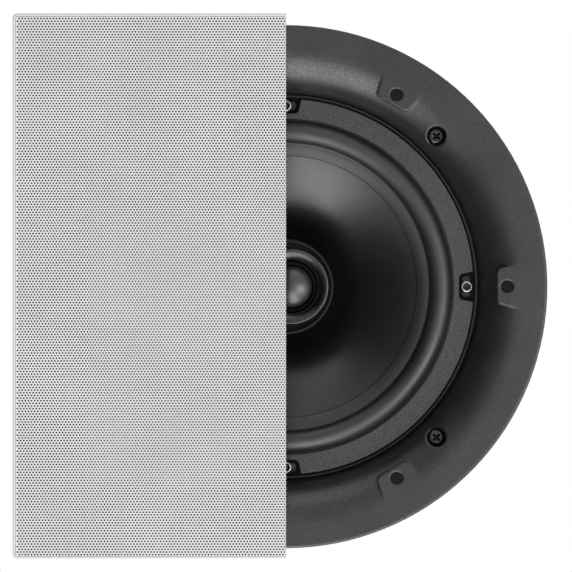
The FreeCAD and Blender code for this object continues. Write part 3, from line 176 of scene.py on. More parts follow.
def moulded_plastic(name, colour, roughness, grain, relief, edge=0.00025, gloss=0.5, polish=0.0):
    """Plastic with soft edges and a mould's grain, so many to a metre, that can shine on top."""
    material, tree, shader = new_finish(name)
    skin = placed(tree, moulded_grain, {"Colour": (*colour, 1), "Grain": grain, "Roughness": roughness})
    soft = add(tree, "Bevel", {"Radius": edge}, samples=8)[0]
    fill(tree, shader, {
        "Base Color": skin["Colour"],
        "Roughness": skin["Roughness"],
        "Normal": bumped(tree, 0.6, relief, skin["Height"], soft),
        "Specular IOR Level": gloss,
    })
    if polish:
        fill(tree, shader, {
            "Coat Weight": calc(tree, "MULTIPLY", skin["Rubbed"], polish),
            "Coat Roughness": 0.35,
        })
    return material


def dress(material, *names):
    """Gives CAD nodes their finish."""
    for name in names:
        nodes[name].material_slots[0].material = material


bezel_finish = moulded_plastic("bezel_plastic", colour=(0.012, 0.0123, 0.0125), roughness=0.38, grain=1500.0,
                               relief=0.00006, edge=0.0016, gloss=0.46, polish=0.40)
dress(bezel_finish, "bezel_frame")

# Grille magnets: sintered discs pressed into the pads of the bezel, which hold the steel grille.
# They are left as ground, dark and speckled, with a dull shine.
magnet_finish = moulded_plastic("pad_magnet", colour=(0.004, 0.004, 0.004), roughness=0.45, grain=2000.0,
                                relief=0.00006, gloss=0.10)
dress(magnet_finish, "grille_magnets")

# Clamps: black-coated steel screws with a rolled thread, and dogs of glass-filled nylon that ride on them.
# A turn of the screw swings its dog out over the board, and more turns draw it down.
MM = 0.001
clamp_circle = 97.9
thread_root = 1.97
thread_crest = 2.10
thread_pitch = 1.2
thread_from = 8.6
thread_to = 48.6
thread_steps = 24
cross_reach = 2.15
cross_middle = 1.05
cross_half_depth = 0.80
# Near-black painted shade for the cross recesses in the clamp screws' heads.
recess_painted_shade = (0.0005, 0.0005, 0.0005, 1)


def axes(tree):
    """The three coordinates of a point of the surface."""
    return add(tree, "SeparateXYZ", {0: spot_on(tree)})


def away(tree, across, along):
    """How far a point is from an upright axis, from its two offsets."""
    squares = calc(tree, "MULTIPLY_ADD", across, across, calc(tree, "MULTIPLY", along, along))
    return calc(tree, "SQRT", squares)


def mixed(tree, mask, colour, other):
    """One colour where a mask is 0 and another where it is 1."""
    return add(tree, "Mix", {0: mask, 6: colour, 7: other}, data_type="RGBA")[2]


def set_down(name, mesh, material):
    """Puts a mesh into the scene as an object with one finish."""
    mesh.materials.append(material)
    piece = bpy.data.objects.new(name, mesh)
    bpy.context.scene.collection.objects.link(piece)
    return piece


def new_piece(name, points, faces, material, sharp=35.0):
    """A mesh object of points in millimetres, smooth but for its sharp edges."""
    mesh = bpy.data.meshes.new(name)
    mesh.from_pydata([(x * MM, y * MM, z * MM) for x, y, z in points], [], faces)
    shape = bmesh.new()
    shape.from_mesh(mesh)
    bmesh.ops.recalc_face_normals(shape, faces=shape.faces)
    shape.to_mesh(mesh)
    shape.free()
    mesh.polygons.foreach_set("use_smooth", [True] * len(mesh.polygons))
    mesh.set_sharp_from_angle(angle=math.radians(sharp))
    return set_down(name, mesh, material)


screw_coat = moulded_plastic("clamp_steel", colour=(0.010, 0.010, 0.010), roughness=0.20, grain=2200.0,
                             relief=0.00003, edge=0.0007, gloss=0.6)
tree = screw_coat.node_tree
shader = shader_of(screw_coat)
# Each head's cross recess, found by its reach from the head's axis and its depth, is painted near-black as
# painted shade.
spot = axes(tree)
screw_offset = clamp_circle * math.sqrt(0.5) * MM
across, along = (calc(tree, "SUBTRACT", calc(tree, "ABSOLUTE", spot[axis]), screw_offset) for axis in "XY")
in_reach = calc(tree, "LESS_THAN", away(tree, across, along), cross_reach * MM)
recess_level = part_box("clamp_screw_1")[0].z + cross_middle * MM
in_depth = calc(tree, "COMPARE", spot["Z"], recess_level, cross_half_depth * MM)
recess_shade_mask = calc(tree, "MULTIPLY", in_reach, in_depth)
coat_colour, coat_roughness = (shader[socket].links[0].from_socket for socket in ("Base Color", "Roughness"))
fill(tree, shader, {
    "Base Color": mixed(tree, recess_shade_mask, coat_colour, recess_painted_shade),
    "Roughness": calc(tree, "MAXIMUM", coat_roughness, recess_shade_mask),
})
for number in range(1, 5):
    around = math.radians(90 * number - 45)
    middle = clamp_circle * math.cos(around), clamp_circle * math.sin(around)
    ridge = []
    steps = round((thread_to - thread_from) / thread_pitch * thread_steps)
    for step in range(steps):
        turn = math.tau * step / thread_steps
        height = thread_from + thread_pitch * step / thread_steps
        for reach, lift in ((thread_root, -0.3), (thread_crest, 0.0), (thread_root, 0.3)):
            ridge.append((middle[0] + reach * math.cos(turn), middle[1] + reach * math.sin(turn),
                          height + lift * thread_pitch))
    faces = []
    for first in range(0, 3 * (steps - 1), 3):
        faces += [(first + i, first + i + 1, first + i + 4, first + i + 3) for i in range(2)]
    thread = new_piece(f"clamp_thread_{number}", ridge, faces, screw_coat, sharp=80.0)
    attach(thread, f"clamp_screw_{number}")
    dress(screw_coat, f"clamp_screw_{number}")
dog_nylon = moulded_plastic("dog_plastic", colour=(0.030, 0.030, 0.031), roughness=0.50, grain=900.0,
                            relief=0.00006, edge=0.0005)
dress(dog_nylon, *(f"clamp_dog_{number}" for number in range(1, 5)))

# Driver basket: a steel pressing with six windows, screwed to the bezel's ledge through its rim.
# It is powder-coated black with a slight orange peel. The rim's front stays matt and is painted near-black
# as painted shade, and its turned-up edge is painted a lighter grey as a painted highlight.
rim_front = 12.7
lip_front = 11.3
rim_painted_shade = (0.003, 0.003, 0.003, 1)
lip_painted_highlight = (0.03, 0.03, 0.03, 1)

peel_coat, given, made = effect(
    "peel_coat", {"Colour": "Color", "Peel": "Float", "Roughness": "Float"},
    {"Colour": "Color", "Roughness": "Float", "Height": "Float"})
peel = noise(peel_coat, given["Peel"], detail=1.0, roughness=0.4)
dulled = noise(peel_coat, 30.0, detail=3.0)
tone = calc(peel_coat, "MULTIPLY_ADD", dulled, 0.16, calc(peel_coat, "MULTIPLY_ADD", peel, 0.08, 0.88))
uneven = calc(peel_coat, "SUBTRACT", dulled, 0.5)
join(peel_coat, shaded(peel_coat, given["Colour"], tone), made["Colour"])
join(peel_coat, calc(peel_coat, "MULTIPLY_ADD", uneven, 0.25, given["Roughness"]), made["Roughness"])
join(peel_coat, peel, made["Height"])


def coated_steel(name, colour, roughness, peel, relief, edge):
    """Sheet steel under a powder coat that has flowed round its edges."""
    material, tree, shader = new_finish(name)
    coat = placed(tree, peel_coat, {"Colour": (*colour, 1), "Peel": peel, "Roughness": roughness})
    soft = add(tree, "Bevel", {"Radius": edge}, samples=4)[0]
    fill(tree, shader, {
        "Base Color": coat["Colour"],
        "Roughness": coat["Roughness"],
        "Normal": bumped(tree, 0.5, relief, coat["Height"], soft),
    })
    return material


basket_finish = coated_steel("basket_coat", colour=(0.020, 0.020, 0.021), roughness=0.42, peel=1100.0,
                             relief=0.00006, edge=0.0004)
tree = basket_finish.node_tree
shader = shader_of(basket_finish)
level = axes(tree)["Z"]
# The rim's front is painted near-black as painted shade, and its turned-up lip lighter grey as a painted
# highlight.
outside = calc(tree, "GREATER_THAN", level, rim_front * MM)
lip_highlight_mask = calc(tree, "LESS_THAN", level, lip_front * MM)
painted_front_colour = mixed(tree, lip_highlight_mask, rim_painted_shade, lip_painted_highlight)
coat_colour = shader["Base Color"].links[0].from_socket
fill(tree, shader, {
    "Base Color": mixed(tree, outside, painted_front_colour, coat_colour),
    "Coat Weight": calc(tree, "MULTIPLY", outside, 0.8),
    "Coat Roughness": 0.4,
    "Specular IOR Level": 0.06,
})
dress(basket_finish, "driver_basket")

# Spider: resin-stiffened cloth pressed into five rolls, glued to the coil's former and to the basket.
# A real spider bends between the two as the cone travels, so it is a formed sheet and not a rigid disc; here
# it keeps its rest shape.
spider_inner = 19.5
spider_flat = 20.2
spider_seat = 47.4
spider_outer = 54.4
spider_front = 44.8
spider_sheet = 0.7
spider_rolls = 5
spider_wave = 0.75
spider_fade = 12
spider_steps = 120

woven_threads, given, made = effect(
    "woven_threads", {"Colour": "Color", "Threads": "Float"}, {"Colour": "Color", "Height": "Float"})
spot = axes(woven_threads)
per_half = calc(woven_threads, "MULTIPLY", given["Threads"], math.pi)
warp = calc(woven_threads, "SINE", calc(woven_threads, "MULTIPLY", spot["X"], per_half))
weft = calc(woven_threads, "SINE", calc(woven_threads, "MULTIPLY", spot["Y"], per_half))
over = calc(woven_threads, "GREATER_THAN", calc(woven_threads, "MULTIPLY", warp, weft), 0.0)
under = calc(woven_threads, "SUBTRACT", 1.0, over)
warp_height = calc(woven_threads, "MULTIPLY", calc(woven_threads, "ABSOLUTE", warp), over)
weft_height = calc(woven_threads, "MULTIPLY", calc(woven_threads, "ABSOLUTE", weft), under)
thread_height = calc(woven_threads, "ADD", warp_height, weft_height)
slub = calc(woven_threads, "MULTIPLY_ADD", noise(woven_threads, 350.0), 0.4, 0.4)
tone = calc(woven_threads, "MULTIPLY_ADD", thread_height, 0.55, slub)
join(woven_threads, shaded(woven_threads, given["Colour"], tone), made["Colour"])
join(woven_threads, thread_height, made["Height"])


def woven_cloth(name, colour, roughness, threads, relief):
    """Plain-woven cloth of so many threads to a metre."""
    material, tree, shader = new_finish(name)
    weave = placed(tree, woven_threads, {"Colour": (*colour, 1), "Threads": threads})
    fill(tree, shader, {
        "Base Color": weave["Colour"],
        "Normal": bumped(tree, 0.7, relief, weave["Height"]),
        "Roughness": roughness,
    })
    return material


def turned_piece(name, section, material, middle=(0.0, 0.0), steps=192, sharp=35.0):
    """Spins a closed section of (radius, height) points about an upright axis."""
    points = []
    for step in range(steps):
        turn = math.tau * step / steps
        points += [(middle[0] + r * math.cos(turn), middle[1] + r * math.sin(turn), z) for r, z in section]
    count = len(section)
    faces = []
    for step in range(steps):
        here = step * count
        there = (step + 1) % steps * count
        for i in range(count):
            after = (i + 1) % count
            faces.append((here + i, here + after, there + after, there + i))
    return new_piece(name, points, faces, material, sharp)


def flexes(piece, inner, outer):
    """Bakes a ring's placement into its mesh, and reckons for each point its share of the way between its
    edges, which nothing uses.
    """
    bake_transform(piece)
    for vertex in piece.data.vertices:
        way = (outer * MM - math.hypot(vertex.co.x, vertex.co.y)) / (outer - inner) / MM
        way = min(max(way, 0.0), 1.0)


pleats = []
for step in range(spider_steps + 1):
    share = step / spider_steps
    fade = min(1.0, share * spider_fade, (1 - share) * spider_fade)
    radius = spider_flat + (spider_seat - spider_flat) * share
    pleats.append((radius, spider_front + spider_wave * fade * math.cos(math.tau * spider_rolls * share)))
front_side = [(spider_inner, spider_front), *pleats, (spider_outer, spider_front)]
back_side = [(radius, height + spider_sheet) for radius, height in reversed(front_side)]
spider_finish = woven_cloth("spider_cloth", colour=(0.42, 0.27, 0.09), roughness=0.75, threads=1400.0,
                            relief=0.00012)
spider = turned_piece("spider_cloth", front_side + back_side, spider_finish, steps=128)
flexes(spider, spider_flat, spider_seat)
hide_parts("spider")

# Coil: copper wire wound in close turns on a former of dark foil, which is glued into the neck of the cone.
# The enamel leaves the wire glossy and a little darker than bare copper.
wire_copper = (0.56, 0.23, 0.10, 1)

wound_turns, given, made = effect(
    "wound_turns", {"Colour": "Color", "Turns": "Float"}, {"Colour": "Color", "Height": "Float"})
per_half = calc(wound_turns, "MULTIPLY", given["Turns"], math.pi)
wave = calc(wound_turns, "SINE", calc(wound_turns, "MULTIPLY", axes(wound_turns)["Z"], per_half))
ridge_height = calc(wound_turns, "ABSOLUTE", wave)
enamel = calc(wound_turns, "MULTIPLY_ADD", noise(wound_turns, 260.0), 0.5, 0.1)
tone = calc(wound_turns, "MULTIPLY_ADD", ridge_height, 0.7, enamel)
join(wound_turns, shaded(wound_turns, given["Colour"], tone), made["Colour"])
join(wound_turns, ridge_height, made["Height"])


def copper_winding(name, turns):
    """Enamelled copper wire, so many turns to a metre of height."""
    material, tree, shader = new_finish(name)
    wire = placed(tree, wound_turns, {"Colour": wire_copper, "Turns": turns})
    fill(tree, shader, {
        "Base Color": wire["Colour"],
        "Normal": bumped(tree, 0.8, 0.00015, wire["Height"]),
        "Metallic": 0.85,
        "Roughness": 0.3,
    })
    return material


turned_marks, given, made = effect(
    "turned_marks", {"Colour": "Color", "Marks": "Float", "Roughness": "Float"},
    {"Colour": "Color", "Roughness": "Float", "Height": "Float"})
spot = axes(turned_marks)
out = away(turned_marks, spot["X"], spot["Y"])
track = add(turned_marks, "CombineXYZ", {"X": out, "Z": spot["Z"]})[0]
groove = noise(turned_marks, given["Marks"], detail=3.0, spot=track)
plating = noise(turned_marks, 60.0)
dulled = calc(turned_marks, "MULTIPLY_ADD", plating, 0.25, 0.7)
tone = calc(turned_marks, "MULTIPLY_ADD", groove, 0.35, dulled)
uneven = calc(turned_marks, "SUBTRACT", groove, plating)
join(turned_marks, shaded(turned_marks, given["Colour"], tone), made["Colour"])
join(turned_marks, calc(turned_marks, "MULTIPLY_ADD", uneven, 0.5, given["Roughness"]), made["Roughness"])
join(turned_marks, groove, made["Height"])


def turned_metal(name, colour, roughness, marks, relief, metallic=1.0, edge=0.0003):
    """Metal with the rings that a lathe tool or grinding wheel leaves, so many to a metre."""
    material, tree, shader = new_finish(name)
    face = placed(tree, turned_marks, {"Colour": (*colour, 1), "Marks": marks, "Roughness": roughness})
    soft = add(tree, "Bevel", {"Radius": edge}, samples=4)[0]
    fill(tree, shader, {
        "Base Color": face["Colour"],
        "Roughness": face["Roughness"],
        "Normal": bumped(tree, 0.4, relief, face["Height"], soft),
        "Metallic": metallic,
    })
    return material


dress(copper_winding("coil_copper", turns=2500.0), "coil_winding", "tweeter_coil")
former_finish = turned_metal("former_foil", colour=(0.20, 0.20, 0.20), roughness=0.40, marks=500.0,
                             relief=0.00001)
dress(former_finish, "coil_former")

# Cone: smooth black polypropylene, vacuum-formed, with a flat edge that the surround is glued to.
# Faint lines run outwards from its neck where the warm sheet was drawn.
cone_black = (0.0035, 0.0035, 0.0035, 1)
cone_finish, tree, shader = new_finish("cone_poly")
spot = axes(tree)
bearing = calc(tree, "ARCTAN2", spot["Y"], spot["X"])
drawn = noise(tree, 22.0, detail=4.0, spot=add(tree, "CombineXYZ", {"X": bearing})[0])
bloom = noise(tree, 55.0, detail=3.0)
tone = calc(tree, "MULTIPLY_ADD", drawn, 0.4, calc(tree, "MULTIPLY_ADD", bloom, 0.4, 0.6))
fill(tree, shader, {
    "Base Color": shaded(tree, cone_black, tone),
    "Roughness": calc(tree, "MULTIPLY_ADD", bloom, 0.10, calc(tree, "MULTIPLY_ADD", drawn, 0.08, 0.24)),
    "Normal": bumped(tree, 0.15, 0.00005, bloom),
    "Specular IOR Level": 0.62,
})
dress(cone_finish, "cone")

# Surround: a half roll of soft black rubber, glued over the edge of the cone and under the trim ring.
# On the real driver it follows the cone at its inner edge while its outer edge stays with the basket; here
# it keeps its rest shape.
lip_inner = 60.3
roll_inner = 66.3
roll_outer = 76.6
surround_outer = 79.5
roll_top = 6.9
roll_front = 11.8
roll_back = 12.5
lip_fall = 1.75
rubber_sheet = 0.7
bow_steps = 20


def bowed(inner, outer, top, foot):
    """Points of the round bow that stands over a ring, from its inner foot to its outer one."""
    half = (outer - inner) / 2
    rise = foot - top
    bow = (half * half + rise * rise) / 2 / rise
    reach = math.asin(min(half / bow, 1.0)) if rise <= bow else math.pi - math.asin(half / bow)
    middle = (inner + outer) / 2
    turns = [reach * (step / bow_steps - 1) for step in range(2 * bow_steps + 1)]
    return [(middle + bow * math.sin(turn), top + bow - bow * math.cos(turn)) for turn in turns]


rubber_finish = moulded_plastic("surround_rubber", colour=(0.008, 0.008, 0.0085), roughness=0.46,
                                grain=1500.0, relief=0.00002, gloss=0.62)
front_bow = bowed(roll_inner, roll_outer, roll_top, roll_front)
back_bow = bowed(roll_inner + rubber_sheet, roll_outer - rubber_sheet, roll_top + rubber_sheet, roll_front)
surround_section = [
    (lip_inner, roll_front + lip_fall + 0.3), (lip_inner + 0.3, roll_front + lip_fall - 0.05),
    (roll_inner - 0.6, roll_front + lip_fall * 0.1), (roll_inner - 0.2, roll_front + 0.2),
    *front_bow,
    (roll_outer + 0.3, roll_front + 0.05), (surround_outer, roll_front), (surround_outer, roll_back),
    (roll_outer - 0.5, roll_back),
    *reversed(back_bow),
    (roll_inner + 0.5, roll_back), (roll_inner, roll_back), (lip_inner, roll_back + lip_fall),
]
surround = turned_piece("rubber_surround", surround_section, rubber_finish, steps=256, sharp=50.0)
flexes(surround, roll_inner, roll_outer)
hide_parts("cone_surround")

# Trim ring: a flat ring of dense grey board-like plastic over the glued edge of the surround.
# Socket screws stand in its notches and hold the whole driver to the bezel; they are zinc-plated, and the
# floors of their sockets are painted dark as painted shade.
head_front = 9.5
socket_edge = 0.6
screw_zinc = (0.33, 0.30, 0.26, 1)
socket_painted_shade = (0.010, 0.009, 0.008, 1)

trim_finish = moulded_plastic("trim_board", colour=(0.026, 0.027, 0.028), roughness=0.50, grain=1300.0,
                              relief=0.00008, edge=0.0003, gloss=0.36, polish=0.5)
dress(trim_finish, "trim_ring")
socket_finish, tree, shader = new_finish("socket_screw")
# Below a set depth each socket is painted dark and non-metallic as painted shade.
sunk_shade_mask = calc(tree, "GREATER_THAN", axes(tree)["Z"], (head_front + socket_edge) * MM)
zinc = placed(tree, moulded_grain, {"Colour": screw_zinc, "Grain": 900.0, "Roughness": 0.34})
soft = add(tree, "Bevel", {"Radius": 0.0007}, samples=6)[0]
fill(tree, shader, {
    "Base Color": mixed(tree, sunk_shade_mask, zinc["Colour"], socket_painted_shade),
    "Roughness": calc(tree, "MAXIMUM", zinc["Roughness"], calc(tree, "MULTIPLY", sunk_shade_mask, 0.7)),
    "Metallic": calc(tree, "SUBTRACT", 1.0, sunk_shade_mask),
    "Normal": bumped(tree, 0.5, 0.00008, zinc["Height"], soft),
})
dress(socket_finish, "driver_screws")


# Motor: two steel plates, turned and zinc-plated, glued either side of a ring of ground ferrite.
# The yoke's pole stands inside the coil, and a nut holds the small unit's dark post in it.
def plated_metal(name, colour, roughness, grain, relief, edge=0.00025):
    """Bright metal with the faint grain of its plating."""
    material = moulded_plastic(name, colour, roughness, grain, relief, edge)
    shader_of(material)["Metallic"].default_value = 1.0
    return material


steel_finish = turned_metal("motor_steel", colour=(0.52, 0.52, 0.49), roughness=0.34, marks=900.0,
                            relief=0.00003)
dress(steel_finish, "front_plate", "back_yoke", "tweeter_plate", "tweeter_yoke")
ferrite_finish = turned_metal("ferrite", colour=(0.035, 0.035, 0.037), roughness=0.50, marks=420.0,
                              relief=0.00006, metallic=0.15, edge=0.0004)
dress(ferrite_finish, "ferrite_ring")
post_finish = turned_metal("post_metal", colour=(0.09, 0.09, 0.09), roughness=0.36, marks=1300.0,
                           relief=0.00002)
dress(post_finish, "tweeter_post")
nut_finish = plated_metal("bright_screw", colour=(0.62, 0.61, 0.57), roughness=0.26, grain=700.0,
                          relief=0.00002, edge=0.0002)
dress(nut_finish, "post_nut")

# High-note unit: a black cup on the post, a bell-mouthed face ring and a dome of silk.
# The mouldings are satin, and the face ring's thin rim is painted lighter grey as a painted highlight. The
# dome's cap is coated until it shines, and the coat stops short of its roll, which is painted near-black as
# painted shade.
small_middle = 2.4
rim_highlight_from = 16.75
rim_painted_highlight = (0.050, 0.050, 0.050, 1)
cap_edge = 9.5
roll_painted_shade = (0.0010, 0.0010, 0.0010, 1)
horn_inner = 12.2
horn_edge = 16.9
face_outer = 17.2
face_front = 9.6
horn_foot = 12.6
face_back = 14.6
bell_steps = 16


def beyond(tree, radius):
    """A mask of what lies further from the small unit's axis than a radius."""
    spot = axes(tree)
    out = away(tree, calc(tree, "SUBTRACT", spot["X"], small_middle * MM), spot["Y"])
    return calc(tree, "GREATER_THAN", out, radius * MM)


cup_finish = moulded_plastic("cup_plastic", colour=(0.004, 0.004, 0.004), roughness=0.50, grain=2400.0,
                             relief=0.00002, gloss=0.18)
dress(cup_finish, "tweeter_cup")
face_finish = moulded_plastic("face_plastic", colour=(0.004, 0.004, 0.004), roughness=0.26, grain=2400.0,
                              relief=0.00002, gloss=0.6)
tree = face_finish.node_tree
shader = shader_of(face_finish)
face_colour = shader["Base Color"].links[0].from_socket
# The face ring's rim is painted lighter grey as a painted highlight.
fill(tree, shader, {"Base Color": mixed(tree, beyond(tree, rim_highlight_from), face_colour, rim_painted_highlight)})
dome_finish = woven_cloth("dome_cloth", colour=(0.012, 0.012, 0.0125), roughness=0.60, threads=3600.0,
                          relief=0.00002)
tree = dome_finish.node_tree
shader = shader_of(dome_finish)
# The dome's roll is painted near-black as painted shade, and its cap alone gets the coat.
roll = beyond(tree, cap_edge)
silk_colour = shader["Base Color"].links[0].from_socket
fill(tree, shader, {
    "Base Color": mixed(tree, roll, silk_colour, roll_painted_shade),
    "Coat Weight": calc(tree, "SUBTRACT", 1.0, roll),
    "Coat Roughness": 0.36,
    "Coat IOR": 1.62,
    "Specular IOR Level": 0.08,
})
dress(dome_finish, "tweeter_diaphragm")
horn_width = horn_edge - horn_inner
horn_depth = horn_foot - face_front
horn_bow = (horn_width ** 2 + horn_depth ** 2) / 2 / horn_depth
horn_turn = math.atan2(horn_width, horn_bow - horn_depth)
bell = []
for step in range(bell_steps + 1):
    turn = horn_turn * step / bell_steps
    bell.append((horn_edge - horn_bow * math.sin(turn), face_front + horn_bow * (1 - math.cos(turn))))
face_section = [
    *bell, (horn_inner, face_back), (face_outer, face_back), (face_outer, face_front + 0.3),
    (face_outer - 0.09, face_front + 0.09),
]
face = turned_piece("small_face", face_section, face_finish, (small_middle, 0.0), steps=160, sharp=40.0)
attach(face, "root")
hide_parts("tweeter_waveguide")
nickel_finish = turned_metal("small_magnet", colour=(0.66, 0.65, 0.61), roughness=0.18, marks=800.0,
                             relief=0.00001)
dress(nickel_finish, "tweeter_magnet")

# Filter tray: a black moulded cap over the edge of the yoke, with bosses for the board's screws.
# The board is green laminate with etched copper under its varnish, and four cross-head screws hold it.
board_back = 90.2
screw_length = 7.0
screw_shank = 1.25
head_reach = 2.6
head_rise = 1.8
head_round = 0.9
round_steps = 6
quarter_steps = 8
head_steps = 4 * quarter_steps
screw_cross = 1.5
screw_wing = 0.38
screw_sunk = 1.2
screw_twists = {(-30.5, -23.5): 12, (-30.5, 23.5): 58, (30.5, -23.5): 34, (30.5, 23.5): 77}
board_green = (0.016, 0.075, 0.030, 1)
copper_green = (0.045, 0.150, 0.060, 1)
white = (1, 1, 1, 1)
black = (0, 0, 0, 1)

tray_finish = moulded_plastic("tray_plastic", colour=(0.032, 0.032, 0.033), roughness=0.48, grain=1500.0,
                              relief=0.00006, edge=0.0004)
dress(tray_finish, "crossover_tray")
board_finish, tree, shader = new_finish("board_laminate")
spot = spot_on(tree)
lands = add(tree, "TexVoronoi", {"Vector": spot, "Scale": 85.0}, distance="CHEBYCHEV", feature="F1")
tracks = add(tree, "TexBrick", {"Vector": spot, "Scale": 160.0, "Mortar Size": 0.12, "Color1": white,
                                "Color2": white, "Mortar": black})["Fac"]
copper_under = calc(tree, "MAXIMUM", calc(tree, "GREATER_THAN", lands["Distance"], 0.42), tracks)
glass_weave = noise(tree, 900.0)
varnish = mixed(tree, copper_under, board_green, copper_green)
fill(tree, shader, {
    "Base Color": shaded(tree, varnish, calc(tree, "MULTIPLY_ADD", glass_weave, 0.4, 0.8)),
    "Roughness": calc(tree, "MULTIPLY_ADD", glass_weave, 0.2, 0.22),
    "Normal": bumped(tree, 0.5, 0.00006, copper_under),
})
dress(board_finish, "crossover_board")

head_top = board_back + head_rise
rings = [(screw_shank, board_back - screw_length), (screw_shank, board_back), (head_reach, board_back)]
for step in range(round_steps + 1):
    turn = math.radians(90 * step / round_steps)
    rings.append((head_reach - head_round * (1 - math.cos(turn)),
                  head_top - head_round * (1 - math.sin(turn))))
wing = [(screw_cross, 0.0), (screw_cross, screw_wing), (screw_wing, screw_wing), (screw_wing, screw_cross)]
corners = 4 * len(wing)
points, faces = [], []
for (across, along), twist in screw_twists.items():
    start = len(points)
    for reach, level in rings:
        for step in range(head_steps):
            turn = math.radians(twist + 360 * step / head_steps)
            points.append((across + reach * math.cos(turn), along + reach * math.sin(turn), level))
    mouth = len(points)
    for level, taper in ((head_top, 1.0), (head_top - screw_sunk, 0.8)):
        for quarter in range(4):
            turn = math.radians(twist + 90 * quarter)
            for a, b in wing:
                points.append((across + taper * (a * math.cos(turn) - b * math.sin(turn)),
                               along + taper * (a * math.sin(turn) + b * math.cos(turn)), level))
    faces.append(tuple(range(start, start + head_steps)))
    for ring in range(start, mouth - head_steps, head_steps):
        for n in range(head_steps):
            after = (n + 1) % head_steps
            faces.append((ring + n, ring + after, ring + head_steps + after, ring + head_steps + n))
    for quarter in range(4):
        first = quarter * quarter_steps
        arc = [mouth - head_steps + (first + n) % head_steps for n in range(quarter_steps + 1)]
        inside = [mouth + (quarter * len(wing) + n) % corners for n in range(len(wing) + 1)]
        faces.append((*arc, *reversed(inside)))
    for n in range(corners):
        after = (n + 1) % corners
        faces.append((mouth + n, mouth + after, mouth + corners + after, mouth + corners + n))
    faces.append(tuple(range(mouth + corners, mouth + 2 * corners)))
cross_finish = plated_metal("board_screw", colour=(0.30, 0.295, 0.28), roughness=0.36, grain=700.0,
                            relief=0.00002, edge=0.0001)
cross_screws = new_piece("board_cross_screws", points, faces, cross_finish)
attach(cross_screws, "root")
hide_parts("board_screws")

# Filter parts: a film capacitor in yellow wrap, an inductor of thick wire on a nylon bobbin, and a resistor
# cast in white cement. They stand on the board, and the inductor's turns are real ridges.
capacitor_middle = (17.0, 9.5)
capacitor_half = 12.0
capacitor_fill = 0.9
resin_tan = (0.60, 0.45, 0.20)
resistor_middle = (19.0, -8.0)
resistor_half = 11.0
wire_reach = 1.6
wire_radius = 0.4
wire_clear = 0.05
wire_tin = (0.62, 0.62, 0.60)
inductor_middle = (-17.0, 9.5)
wire_core = 5.1
wire_outer = 11.4
wire_low = 91.8
wire_high = 100.8
wire_turns = 12

other_ends, given, made = effect(
    "other_ends", {"Colour": "Color", "Middle": "Float", "Body": "Float", "End": "Color"},
    {"Colour": "Color", "Ends": "Float"})
off = calc(other_ends, "ABSOLUTE", calc(other_ends, "SUBTRACT", axes(other_ends)["X"], given["Middle"]))
past = calc(other_ends, "GREATER_THAN", off, given["Body"])
join(other_ends, mixed(other_ends, past, given["Colour"], given["End"]), made["Colour"])
join(other_ends, past, made["Ends"])


def ended(material, middle, half, colour, metallic):
    """Gives a part that lies along X another colour past its body, as on its tinned wires."""
    tree = material.node_tree
    shader = shader_of(material)
    whole = shader["Base Color"].links[0].from_socket
    ends = placed(tree, other_ends, {
        "Colour": whole, "Middle": middle * MM, "Body": half * MM, "End": (*colour, 1)})
    fill(tree, shader, {"Base Color": ends["Colour"]})
    if metallic:
        fill(tree, shader, {"Metallic": ends["Ends"]})


capacitor_wrap = moulded_plastic("capacitor_film", colour=(0.52, 0.33, 0.03), roughness=0.30, grain=300.0,
                                 relief=0.00004, edge=0.0004)
ended(capacitor_wrap, capacitor_middle[0], capacitor_half - capacitor_fill, resin_tan, metallic=False)
ended(capacitor_wrap, capacitor_middle[0], capacitor_half + wire_clear, wire_tin, metallic=True)
dress(capacitor_wrap, "film_capacitor")
cement = moulded_plastic("resistor_cement", colour=(0.66, 0.64, 0.60), roughness=0.75, grain=1300.0,
                         relief=0.00015, edge=0.0006)
ended(cement, resistor_middle[0], resistor_half + wire_clear, wire_tin, metallic=True)
dress(cement, "crossover_resistor")
solder_finish = plated_metal("solder_tin", colour=(0.60, 0.60, 0.58), roughness=0.22, grain=600.0,
                             relief=0.00004)
solder_section = [
    (0.0, board_back - 0.05), (1.4, board_back - 0.05), (1.4, board_back + 0.06), (1.0, board_back + 0.22),
    (0.7, board_back + 0.55), (wire_radius + 0.12, board_back + 1.0), (0.0, board_back + 1.05),
]
for part, (x, y), half in (("capacitor", capacitor_middle, capacitor_half),
                           ("resistor", resistor_middle, resistor_half)):
    for side, end in ((-1, "low"), (1, "high")):
        foot = x + side * (half + wire_reach), y
        solder = turned_piece(f"{part}_solder_{end}", solder_section, solder_finish, foot, steps=32,
                              sharp=60.0)
        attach(solder, "root")
bobbin_finish = moulded_plastic("bobbin_plastic", colour=(0.62, 0.59, 0.52), roughness=0.45, grain=800.0,
                                relief=0.00004, edge=0.0003)
dress(bobbin_finish, "inductor_bobbin")
wire_half = (wire_high - wire_low) / wire_turns / 2
winding_section = [(wire_core, wire_low)]
for turn in range(wire_turns):
    height = wire_low + wire_half * (2 * turn + 1)
    for step in range(-4, 5):
        swing = math.radians(step * 20)
        winding_section.append((wire_outer - wire_half * (1 - math.cos(swing)),
                                height + wire_half * math.sin(swing)))
winding_section.append((wire_core, wire_high))
inductor_finish = copper_winding("inductor_copper", turns=1000.0)
inductor = turned_piece("inductor_turns", winding_section, inductor_finish, inductor_middle, steps=96,
                        sharp=60.0)
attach(inductor, "root")
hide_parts("inductor_winding")

# Push terminals: a black block with a red and a black button, each on a bent leaf of spring steel.
# On the real block the leaf folds flat as its button is pressed, which opens the clamp for the bare wire;
# here it keeps its rest shape.
button_places = {"positive": (-15.5, -17.5), "negative": (-2.5, -17.5)}
button_colours = {"positive": ("button_red", (0.42, 0.012, 0.012)),
                  "negative": ("button_black", (0.018, 0.018, 0.018))}
block_top = 100.2
sign_off = 6.0
sign_half = 1.5
sign_bar = 0.35
sign_rise = 0.25
sign_root = 0.1
leaf_low = 91.8
leaf_high = 95.5
leaf_half = 2.3
leaf_sheet = 0.4
leaf_bend = 0.6
leaf_inset = 0.25
leaf_lift = 0.2

